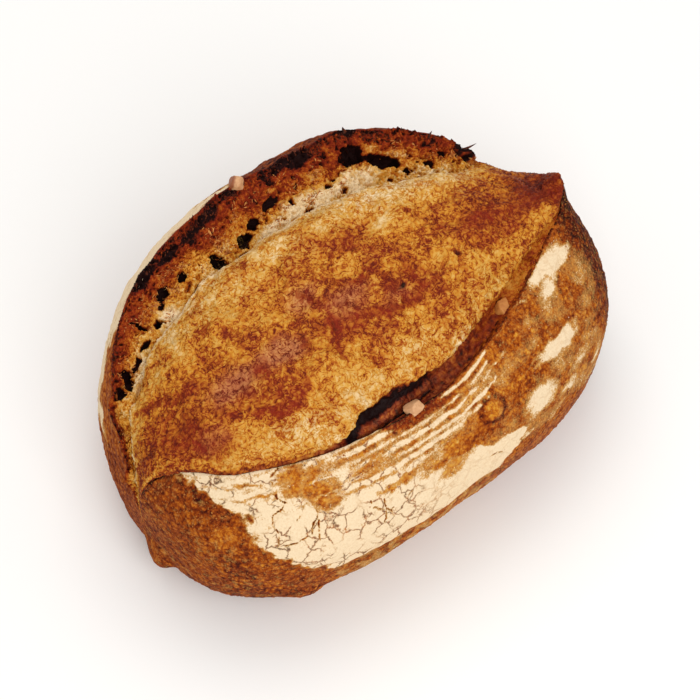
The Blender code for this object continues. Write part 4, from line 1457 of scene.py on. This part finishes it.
def paint(red: float, green: float, blue: float) -> Colour:
    """A colour as it looks on a screen, from 0 to 255, made linear."""
    parts = (red / 255, green / 255, blue / 255)
    return (*(part / 12.92 if part < 0.04045 else ((part + 0.055) / 1.055) ** 2.4 for part in parts), 1.0)


class Bench:
    """A node tree being built: adds nodes and joins their sockets."""

    def __init__(self, tree: NodeTree) -> None:
        """Starts on a tree."""
        self.tree = tree

    @classmethod
    def group(cls, name: str, kind: str, given: dict[str, str], result: dict[str, str]) -> "Bench":
        """Starts on a new node group with named sockets.

        Args:
            name: The group's name.
            kind: Shader or Geometry.
            given: The kind of each input, by its name.
            result: The kind of each output, by its name.

        Returns:
            The bench. Its given and result are the sockets inside the group.
        """
        tree = bpy.data.node_groups.new(name, f"{kind}NodeTree")
        for way, sockets in (("INPUT", given), ("OUTPUT", result)):
            for socket, held in sockets.items():
                tree.interface.new_socket(socket, in_out=way, socket_type=f"NodeSocket{held}")
        bench = cls(tree)
        bench.given = bench.add("NodeGroupInput").outputs
        bench.result = bench.add("NodeGroupOutput").inputs
        return bench

    def feed(self, target: NodeSocket, value: object) -> None:
        """Links an output to an input, or gives the input a constant value."""
        if isinstance(value, NodeSocket):
            self.tree.links.new(value, target)
        else:
            target.default_value = value

    def add(self, kind: str, feeds: dict[str | int, object] | None = None, **settings: object) -> Node:
        """Adds a node.

        Args:
            kind: The node's type.
            feeds: Outputs and values for its inputs, by their names or places.
            settings: The values of its own settings.

        Returns:
            The node.
        """
        node = self.tree.nodes.new(kind)
        for setting, value in settings.items():
            setattr(node, setting, value)
        for socket, value in (feeds or {}).items():
            self.feed(node.inputs[socket], value)
        return node

    def calc(self, operation: str, a: object, b: object, clamp: bool = False) -> NodeSocket:
        """Adds a Math node between two sockets or numbers.

        Args:
            operation: What the node does, such as ADD.
            a: A socket or a number.
            b: A socket or a number.
            clamp: Whether the result stays from 0 to 1.

        Returns:
            The node's output.
        """
        return self.add("ShaderNodeMath", {0: a, 1: b}, operation=operation, use_clamp=clamp).outputs[0]

    def times(self, a: object, b: object) -> NodeSocket:
        """The product of two sockets or numbers."""
        return self.calc("MULTIPLY", a, b)

    def above(self, value: NodeSocket, low: float, gain: float) -> NodeSocket:
        """How far a value is above a low, times a gain, kept from 0 to 1."""
        return self.calc("MULTIPLY", self.calc("SUBTRACT", value, low), gain, True)

    def noise(
        self, place: NodeSocket, size: object, detail: float, twist: float = 0.0
    ) -> Node:
        """Adds a noise texture.

        Args:
            place: Where on the piece it is.
            size: How far apart its swells are in millimetres, or a socket with its scale.
            detail: How many finer layers it has.
            twist: How far it is distorted.

        Returns:
            The node.
        """
        scale = size if isinstance(size, NodeSocket) else 1 / (size * MM)
        feeds = {"Vector": place, "Scale": scale, "Detail": detail, "Roughness": 0.6, "Distortion": twist}
        return self.add("ShaderNodeTexNoise", feeds)

    def mix(self, share: object, a: object, b: object) -> NodeSocket:
        """Adds a colour mix from a to b and returns its output."""
        return self.add("ShaderNodeMix", {0: share, 6: a, 7: b}, data_type="RGBA").outputs[2]


class MaterialBench(Bench):
    """A bench on a new material, with its shader's inputs and the place that its patterns follow."""

    def __init__(self, name: str) -> None:
        """Starts a material of this name."""
        self.material = bpy.data.materials.new(name)
        self.material.use_nodes = True
        super().__init__(self.material.node_tree)
        self.shader = self.tree.nodes["Principled BSDF"].inputs
        self.place = self.add("ShaderNodeTexCoord").outputs["Object"]

    def layer(self, name: str) -> NodeSocket:
        """One of the piece's attributes."""
        return self.add("ShaderNodeAttribute", attribute_name=name).outputs["Fac"]

    def use(self, group: NodeTree, **values: object) -> NodeOutputs:
        """Places a group with its own values, and returns the group's outputs."""
        return self.add("ShaderNodeGroup", values, node_tree=group).outputs

    def bump(self, height: NodeSocket, reach: float) -> None:
        """Raises the surface by a height, up to a reach in millimetres."""
        node = self.add("ShaderNodeBump", {"Distance": reach * MM, "Height": height})
        self.feed(self.shader["Normal"], node.outputs["Normal"])


BAKE_COLOURS = (
    (0.00, paint(240, 214, 172)),
    (0.12, paint(224, 188, 130)),
    (0.25, paint(214, 162, 74)),
    (0.38, paint(204, 136, 40)),
    (0.50, paint(180, 100, 24)),
    (0.62, paint(142, 62, 10)),
    (0.74, paint(96, 34, 8)),
    (0.86, paint(46, 11, 6)),
    (1.00, paint(26, 5, 4)),
)
FLOUR_COLOUR = paint(238, 215, 180)
FILM_COLOUR = paint(204, 156, 82)
BLUSH_AND_SHEEN_COLOUR = paint(194, 132, 94)
EMBER_COLOUR = paint(146, 40, 14)
MOST_BLUSH_AND_SHEEN = 0.58
MOST_EMBER = 0.34
FLOUR_SHAKE = 5.5
FLOUR_NETS = ((1000.0, 14.0, 15.0, 0.36), (2300.0, 9.0, 8.0, 0.56))


def baked_colour() -> NodeTree:
    """The group that turns how far a place is baked, with its painted light and shade, and what lies on it,
    into a colour.
    """
    masks = dict.fromkeys(("Bake", "Flour", "Film", "Blush", "Ember"), "Float")
    bench = Bench.group("baked_colour", "Shader", masks, {"Color": "Color"})
    given = bench.given
    scale = bench.add("ShaderNodeValToRGB")
    stops = scale.color_ramp.elements
    while len(stops) > 1:
        stops.remove(stops[-1])
    stops[0].position, stops[0].color = BAKE_COLOURS[0]
    for place, colour in BAKE_COLOURS[1:]:
        stops.new(place).color = colour
    bench.feed(scale.inputs["Fac"], given["Bake"])
    colour = scale.outputs["Color"]
    # The pinkish grey, which on the bloom is a painted sheen.
    colour = bench.mix(bench.calc("MULTIPLY", given["Blush"], MOST_BLUSH_AND_SHEEN, True), colour, BLUSH_AND_SHEEN_COLOUR)
    colour = bench.mix(bench.calc("MULTIPLY", given["Ember"], MOST_EMBER, True), colour, EMBER_COLOUR)
    colour = bench.mix(given["Film"], colour, FILM_COLOUR)
    bench.feed(bench.result["Color"], bench.mix(given["Flour"], colour, FLOUR_COLOUR))
    return bench.tree


def split_flour() -> NodeTree:
    """The group for the nets of thin cracks in dried flour, from 0 between them to 1 in them.

    Each net has its closeness, how sharp its lines are, how large its patches are in millimetres, and how
    bare of cracks the places between the patches are.
    """
    bench = Bench.group("split_flour", "Shader", {"Vector": "Vector", "Size": "Float"}, {"Crack": "Float"})
    place = bench.given["Vector"]
    shake = bench.noise(place, 4.5, 3.0).outputs["Color"]
    feeds = {0: shake, 1: (FLOUR_SHAKE * MM,) * 3, 2: place}
    shaken = bench.add("ShaderNodeVectorMath", feeds, operation="MULTIPLY_ADD").outputs[0]
    crack = None
    for closeness, sharpness, patch_size, bareness in FLOUR_NETS:
        feeds = {"Vector": shaken, "Scale": bench.calc("DIVIDE", closeness, bench.given["Size"])}
        net = bench.add("ShaderNodeTexVoronoi", feeds, feature="DISTANCE_TO_EDGE")
        off_line = bench.calc("MULTIPLY", net.outputs["Distance"], sharpness, True)
        patch = bench.above(bench.noise(place, patch_size, 1.0).outputs[0], bareness, 9.0)
        line = bench.times(bench.calc("SUBTRACT", 1.0, off_line, True), patch)
        crack = bench.calc("MAXIMUM", crack, line) if crack else line
    bench.feed(bench.result["Crack"], crack)
    return bench.tree


def oven_grain() -> NodeTree:
    """The group for the fine mottling of baked crust: its tone about zero, with light specks that are painted
    glints, its height, and its red veins.
    """
    sizes = {"Vector": "Vector"} | dict.fromkeys(("Size", "Speckle", "Veins"), "Float")
    bench = Bench.group("oven_grain", "Shader", sizes, dict.fromkeys(("Tone", "Height", "Red"), "Float"))
    given, result = bench.given, bench.result
    place = given["Vector"]
    closeness = bench.calc("DIVIDE", 1000.0, given["Size"])
    fine = bench.noise(place, closeness, 2.0, 0.8).outputs[0]
    coarse = bench.noise(place, bench.times(closeness, 0.33), 2.0, 0.5).outputs[0]
    folds = bench.noise(place, bench.times(closeness, 0.55), 2.0, 1.0).outputs[0]
    off_middle = bench.calc("ABSOLUTE", bench.calc("SUBTRACT", folds, 0.5), 0.0)
    vein = bench.calc("SUBTRACT", 1.0, bench.calc("MULTIPLY", off_middle, 17.0, True), True)
    pits = bench.add("ShaderNodeTexVoronoi", {"Vector": place, "Scale": bench.times(closeness, 0.8)})
    both = bench.calc("ADD", bench.times(fine, 0.7), bench.times(coarse, 0.3))
    level = bench.times(bench.calc("SUBTRACT", 0.5, both), 1.5)
    # Light specks at the middles of these cells are painted glints, and the net between them is darker.
    glint_speck = bench.times(bench.calc("SUBTRACT", pits.outputs["Distance"], 0.42), given["Speckle"])
    veined = bench.times(bench.calc("SUBTRACT", vein, 0.35), given["Veins"])
    bench.feed(result["Red"], bench.times(vein, given["Veins"]))
    tone = bench.calc("ADD", bench.calc("ADD", level, glint_speck), veined)
    bench.feed(result["Tone"], bench.calc("MAXIMUM", tone, -0.28))
    low = bench.times(bench.calc("ADD", glint_speck, veined), 0.3)
    bench.feed(result["Height"], bench.calc("SUBTRACT", both, low))
    return bench.tree


# Crumbs that are strewn over a sheet.


@dataclass(frozen=True)
class Scatter:
    """Small shapes strewn over a sheet: how many to a square metre, their sizes and how thin they are."""

    name: str
    count_density: float
    smallest: float
    largest: float
    narrow: float
    flat: float
    seed: int

    def tree(self, material: Material) -> NodeTree:
        """Builds the geometry nodes: points on the faces, a shape on each, and its material."""
        sizes = dict.fromkeys(("Density", "Smallest", "Largest", "Narrowness", "Flatness"), "Float")
        bench = Bench.group(
            f"{self.name}_strewing", "Geometry", {"Geometry": "Geometry"} | sizes, {"Geometry": "Geometry"}
        )
        given = bench.given
        often = bench.add("GeometryNodeInputNamedAttribute", {"Name": "density"}, data_type="FLOAT")
        density = bench.times(given["Density"], often.outputs["Attribute"])
        feeds = {"Mesh": given["Geometry"], "Density": density, "Seed": self.seed}
        points = bench.add("GeometryNodeDistributePointsOnFaces", feeds).outputs
        feeds = {2: given["Smallest"], 3: given["Largest"], "Seed": self.seed + 1}
        size = bench.add("FunctionNodeRandomValue", feeds, data_type="FLOAT").outputs[1]
        narrow, flat = (bench.times(size, given[name]) for name in ("Narrowness", "Flatness"))
        scale = bench.add("ShaderNodeCombineXYZ", {"X": size, "Y": narrow, "Z": flat}).outputs["Vector"]
        feeds = {"Min": (-0.5, -0.5, 0.0), "Max": (0.5, 0.5, 6.28), "Seed": self.seed + 2}
        spin = bench.add("FunctionNodeRandomValue", feeds, data_type="FLOAT_VECTOR").outputs["Value"]
        feeds = {"Rotation": points["Rotation"], "Rotate By": spin}
        turn = bench.add("FunctionNodeRotateRotation", feeds, rotation_space="LOCAL").outputs["Rotation"]
        shape = bench.add("GeometryNodeMeshIcoSphere", {"Radius": 1.0, "Subdivisions": 1}).outputs["Mesh"]
        feeds = {"Points": points["Points"], "Instance": shape, "Rotation": turn, "Scale": scale}
        placed = bench.add("GeometryNodeInstanceOnPoints", feeds).outputs["Instances"]
        whole = bench.add("GeometryNodeRealizeInstances", {"Geometry": placed}).outputs["Geometry"]
        dressed = bench.add("GeometryNodeSetMaterial", {"Geometry": whole, "Material": material})
        bench.feed(bench.result["Geometry"], dressed.outputs["Geometry"])
        return bench.tree

    def build(self, carrier: Object, material: Material) -> Object:
        """Strews the shapes over a carrier, which is used up.

        Args:
            carrier: A mesh with a density attribute.
            material: What the shapes are made of.

        Returns:
            The shapes as one plain mesh.
        """
        tree = self.tree(material)
        live = carrier.modifiers.new(self.name, "NODES")
        live.node_group = tree
        sizes = {
            "Density": self.count_density, "Smallest": self.smallest * MM, "Largest": self.largest * MM,
            "Narrowness": self.narrow, "Flatness": self.flat,
        }
        for socket in tree.interface.items_tree:
            if socket.item_type == "SOCKET" and socket.in_out == "INPUT" and socket.name in sizes:
                live[socket.identifier] = sizes[socket.name]
        graph = bpy.context.evaluated_depsgraph_get()
        mesh = bpy.data.meshes.new_from_object(carrier.evaluated_get(graph), depsgraph=graph)
        carrier.modifiers.remove(live)
        bpy.data.objects.remove(carrier)
        mesh.name = self.name
        mesh.shade_smooth()
        LOG.info("%s: %d faces", self.name, len(mesh.polygons))
        return in_scene(mesh)

    def dress(self, sheet: Sheet, density: Array, material: Material) -> None:
        """Strews the shapes over a built sheet.

        Args:
            sheet: The sheet.
            density: How thickly each of its points is strewn, from 0 to 1.
            material: What the shapes are made of.
        """
        dress(self.build(carrier_of(sheet, density), material), None, "crust")


def carrier_of(sheet: Sheet, density: Array, every: int = 3, least: float = 0.02) -> Object:
    """A plain copy of part of a sheet's outer face, for strewing on.

    Args:
        sheet: A built sheet.
        density: How thickly each of its points is strewn, from 0 to 1.
        every: One row and one column out of how many are kept.
        least: The density below which a face is left out.

    Returns:
        The copy, with its density attribute.
    """
    points, chance = sheet.points[::every, ::every], (density + 0 * sheet.width)[::every, ::every]
    rows, columns = chance.shape
    index = np.arange(rows * columns).reshape(rows, columns)
    quads = np.stack([index[:-1, :-1], index[1:, :-1], index[1:, 1:], index[:-1, 1:]], -1).reshape(-1, 4)
    quads = quads[chance.ravel()[quads].max(1) > least]
    mesh = bpy.data.meshes.new("strewn_ground")
    mesh.from_pydata((points.reshape(-1, 3) * MM).tolist(), [], quads.tolist())
    give_layer(mesh, "density", chance.ravel())
    return in_scene(mesh)


# Finishes.


@dataclass(frozen=True)
class CrustFinish:
    """A baked crust: its grain's size, its speckle of painted glints and its veins, roughness, bumps and
    sheen, in millimetres.
    """

    name: str
    grain_size: float
    glint_speckle: float
    veins: float
    roughness: float
    bump: float
    sheen: float
    flour_sharpness: float = 3.0
    crack_spacing: float = 8.5
    grain_contrast: float = 0.62
    dust_size: float = 0.8
    dust_reach: float = 1.1
    film_strength: float = 0.76
    vein_redness: float = 1.6

    def dusting(
        self, bench: MaterialBench, flour: NodeSocket, split: NodeSocket,
        cracks: NodeTree,
    ) -> tuple[NodeSocket, NodeSocket, NodeSocket]:
        """The flour on the crust, broken up by its own grain and its cracks.

        Args:
            bench: The material's bench.
            flour: The sheet's layer of flour.
            split: The sheet's layer of how far the flour has cracked.
            cracks: The split_flour group.

        Returns:
            Masks of the thick flour, of the thin film, and of the cracks.
        """
        dust = bench.noise(bench.place, self.dust_size, 3.0).outputs[0]
        edge = bench.calc("ADD", flour, bench.times(bench.calc("SUBTRACT", dust, 0.5), self.dust_reach))
        uneven = bench.calc("ADD", bench.times(dust, 0.8), 0.52)
        thick = bench.calc("MULTIPLY", bench.above(edge, 0.45, self.flour_sharpness), uneven, True)
        net = bench.use(cracks, Vector=bench.place, Size=self.crack_spacing)["Crack"]
        crack = bench.calc("MULTIPLY", net, bench.times(bench.above(thick, 0.3, 2.0), split), True)
        sound = bench.calc("SUBTRACT", 1.0, bench.times(crack, 0.92))
        film = bench.times(bench.above(edge, 0.04, 2.1), bench.times(sound, self.film_strength))
        return bench.times(thick, sound), film, crack

    def material(
        self, colours: NodeTree, grains: NodeTree, cracks: NodeTree
    ) -> Material:
        """Builds the material.

        Args:
            colours: The baked_colour group.
            grains: The oven_grain group.
            cracks: The split_flour group.

        Returns:
            The material, which reads the sheet's layers.
        """
        bench = MaterialBench(self.name)
        bake_and_painted_light, mottle, flour, split, blush_and_sheen, ember = (bench.layer(layer) for layer in CRUST_LAYERS)
        grained = bench.use(
            grains, Vector=bench.place, Size=self.grain_size, Speckle=self.glint_speckle, Veins=self.veins
        )
        flour, film, crack = self.dusting(bench, flour, split, cracks)
        tone = bench.times(grained["Tone"], bench.times(mottle, self.grain_contrast))
        toned = bench.calc("ADD", bench.calc("ADD", bake_and_painted_light, tone), bench.times(crack, 0.17), True)
        paler = bench.calc("SUBTRACT", 0.60, bench.times(grained["Tone"], 2.0))
        unburnt = bench.calc("MULTIPLY", bench.calc("SUBTRACT", 0.92, bake_and_painted_light), 6.0, True)
        red = bench.calc("ADD", ember, bench.times(grained["Red"], self.vein_redness))
        coloured = bench.use(
            colours, Bake=toned, Flour=flour, Film=film, Blush=bench.calc("MULTIPLY", blush_and_sheen, paler, True),
            Ember=bench.times(red, unburnt),
        )
        bench.feed(bench.shader["Base Color"], coloured["Color"])
        rough = bench.calc("ADD", bench.times(flour, 0.3), self.roughness)
        rough = bench.calc("ADD", rough, bench.times(grained["Tone"], 0.12), True)
        bench.feed(bench.shader["Roughness"], rough)
        bench.bump(grained["Height"], self.bump)
        bench.shader["Specular IOR Level"].default_value = self.sheen
        return bench.material


@dataclass(frozen=True)
class SpeckFinish:
    """Small loose or puffed bits of one colour, a little darker and lighter from bit to bit."""

    name: str
    dark: Colour
    light: Colour
    roughness: float
    patch_size: float = 1.6
    bump: float = 0.1
    sheen: float = 0.15

    def material(self) -> Material:
        """Builds the material from a noise between its two colours."""
        bench = MaterialBench(self.name)
        patch = bench.noise(bench.place, self.patch_size, 3.0).outputs[0]
        colour = bench.mix(bench.above(patch, 0.35, 3.0), self.dark, self.light)
        bench.feed(bench.shader["Base Color"], colour)
        bench.bump(patch, self.bump)
        bench.shader["Roughness"].default_value = self.roughness
        bench.shader["Specular IOR Level"].default_value = self.sheen
        return bench.material


@dataclass(frozen=True)
class KernelFinish:
    """Toasted walnut: pale broken flesh with fine streaks, and brown papery skin where the piece keeps it."""

    name: str
    light: Colour
    dark: Colour
    skin: Colour = paint(150, 84, 48)
    roughness: float = 0.6
    bump: float = 0.08

    def material(self) -> Material:
        """Builds the material, which reads the piece's skin attribute."""
        bench = MaterialBench(self.name)
        toast = bench.above(bench.noise(bench.place, 2.2, 4.0, 0.6).outputs[0], 0.36, 2.6)
        flesh = bench.mix(toast, self.light, self.dark)
        bench.feed(bench.shader["Base Color"], bench.mix(bench.layer("skin"), flesh, self.skin))
        bench.bump(bench.noise(bench.place, 0.5, 3.0).outputs[0], self.bump)
        bench.shader["Roughness"].default_value = self.roughness
        return bench.material


# The studio.


@dataclass(frozen=True)
class Studio:
    """A pale floor, soft light from large panels, and the camera where the photographer stood."""

    azimuth: float = -40.0
    elevation: float = 58.0
    distance: float = 0.950
    lens: float = 106.2
    look_at: tuple[float, float, float] = (0.0015, -0.0055, 0.047)
    aside: float = 0.00026
    above: float = 0.00076
    floor_reach: float = 3.0
    floor_gap: float = 0.0004
    paper: Colour = (0.97, 0.968, 0.962, 1)
    surroundings: Colour = (1.0, 0.99, 0.97, 1)
    brightness: float = 0.62

    def floor(self) -> Object:
        """The floor, just under the loaf."""
        mesh = bpy.data.meshes.new("studio_floor")
        reach, height = self.floor_reach, -self.floor_gap
        corners = [(x * reach, y * reach, height) for x, y in ((-1, -1), (1, -1), (1, 1), (-1, 1))]
        mesh.from_pydata(corners, [], [(0, 1, 2, 3)])
        paper = bpy.data.materials.new("pale_paper")
        paper.use_nodes = True
        shader = paper.node_tree.nodes["Principled BSDF"]
        shader.inputs["Base Color"].default_value = self.paper
        shader.inputs["Roughness"].default_value = 0.9
        mesh.materials.append(paper)
        return in_scene(mesh)

    def panel(
        self, name: str, place: Sequence[float], size: float, power: float, colour: Sequence[float]
    ) -> None:
        """A square light panel that faces the loaf.

        Args:
            name: The panel's name.
            place: Where its middle is, in metres.
            size: The length of its sides in metres.
            power: How many watts it gives.
            colour: The colour of its light.
        """
        data = bpy.data.lights.new(name, "AREA")
        data.size, data.energy, data.color = size, power, colour
        made = bpy.data.objects.new(name, data)
        made.location = place
        made.rotation_euler = (Vector(self.look_at) - Vector(place)).to_track_quat("-Z", "Y").to_euler()
        bpy.context.scene.collection.objects.link(made)

    def camera(self) -> None:
        """The camera, aimed a little off the middle of the loaf as the photograph is framed."""
        a, e = math.radians(self.azimuth), math.radians(self.elevation)
        back = Vector((math.sin(a) * math.cos(e), -math.cos(a) * math.cos(e), math.sin(e)))
        turn = (-back).to_track_quat("-Z", "Y")
        right, up = turn @ Vector((1, 0, 0)), turn @ Vector((0, 1, 0))
        data = bpy.data.cameras.new("camera")
        data.lens, data.sensor_width = self.lens, 36
        made = bpy.data.objects.new("camera", data)
        made.location = Vector(self.look_at) - right * self.aside - up * self.above + back * self.distance
        made.rotation_mode = "QUATERNION"
        made.rotation_quaternion = turn
        bpy.context.scene.collection.objects.link(made)
        bpy.context.scene.camera = made

    def light(self) -> None:
        """The pale surroundings and two soft panels."""
        world = bpy.data.worlds.new("surroundings")
        world.use_nodes = True
        sky = world.node_tree.nodes["Background"].inputs
        sky["Color"].default_value, sky["Strength"].default_value = self.surroundings, self.brightness
        bpy.context.scene.world = world
        bpy.context.scene.view_settings.view_transform = "Standard"
        self.panel("sky_panel", (0.30, 0.50, 1.20), 1.0, 5.0, (1.0, 0.98, 0.95))
        self.panel("front_panel", (-0.30, -0.85, 0.90), 0.9, 7.5, (1.0, 0.98, 0.96))

    def build(self) -> None:
        """Sets up the whole studio."""
        self.floor()
        self.light()
        self.camera()


def main() -> None:
    """Builds the sheets of crust, the walnut pieces, the crumbs and the studio."""
    logging.basicConfig(level=logging.INFO, format="%(message)s")
    form = LoafForm()
    groups = (baked_colour(), oven_grain(), split_flour())
    skin_finish = CrustFinish("floured_crust", 1.5, 0.50, 0.14, 0.75, 0.40, 0.07).material(*groups)
    bloom_finish = CrustFinish("bloom_crust", 2.0, 0.28, 0.42, 0.58, 0.60, 0.12).material(*groups)
    torn_finish = CrustFinish("torn_crumb", 1.5, 0.20, 0.30, 0.75, 0.50, 0.10).material(*groups)

    skin, bloom, ear, far = FlouredSkin(form), Bloom(form), TornEar(form), FarSkin(form)
    skin.dress(skin_finish, "loaf")
    bloom.dress(bloom_finish)
    ear.dress(torn_finish)
    far.dress(skin_finish)

    kernel = KernelFinish("walnut_kernel", paint(218, 168, 122), paint(196, 140, 94)).material()
    toasted = KernelFinish("toasted_kernel", paint(196, 128, 58), paint(172, 100, 42)).material()
    RIM_WALNUT.dress(kernel)
    LEDGE_WALNUT.dress(kernel)
    END_WALNUT.dress(toasted)

    char = SpeckFinish("charred_flake", paint(26, 8, 6), paint(104, 44, 18), 0.6).material()
    strand = SpeckFinish("crumb_strand", paint(140, 60, 20), paint(222, 156, 84), 0.7).material()
    dot = SpeckFinish("blister_dot", paint(140, 70, 24), paint(196, 130, 62), 0.8).material()
    meal = SpeckFinish("flour_grain", paint(224, 196, 154), paint(246, 226, 190), 0.9).material()
    Scatter("rim_flakes", 9e5, 0.3, 1.1, 0.45, 0.30, 101).dress(ear, ear.at_rim(), char)
    Scatter("crumb_strands", 7e5, 0.5, 1.8, 0.20, 0.15, 103).dress(ear, ear.in_crumb(), strand)
    Scatter("blister_dots", 1.6e5, 0.25, 0.60, 0.85, 0.30, 105).dress(skin, skin.bare(), dot)
    Scatter("flour_grains", 4e5, 0.12, 0.28, 0.80, 0.60, 107).dress(skin, skin.flour_edge(), meal)
    CharredWisps(form).dress(char)

    Studio().build()


if __name__ == "__main__":
    main()
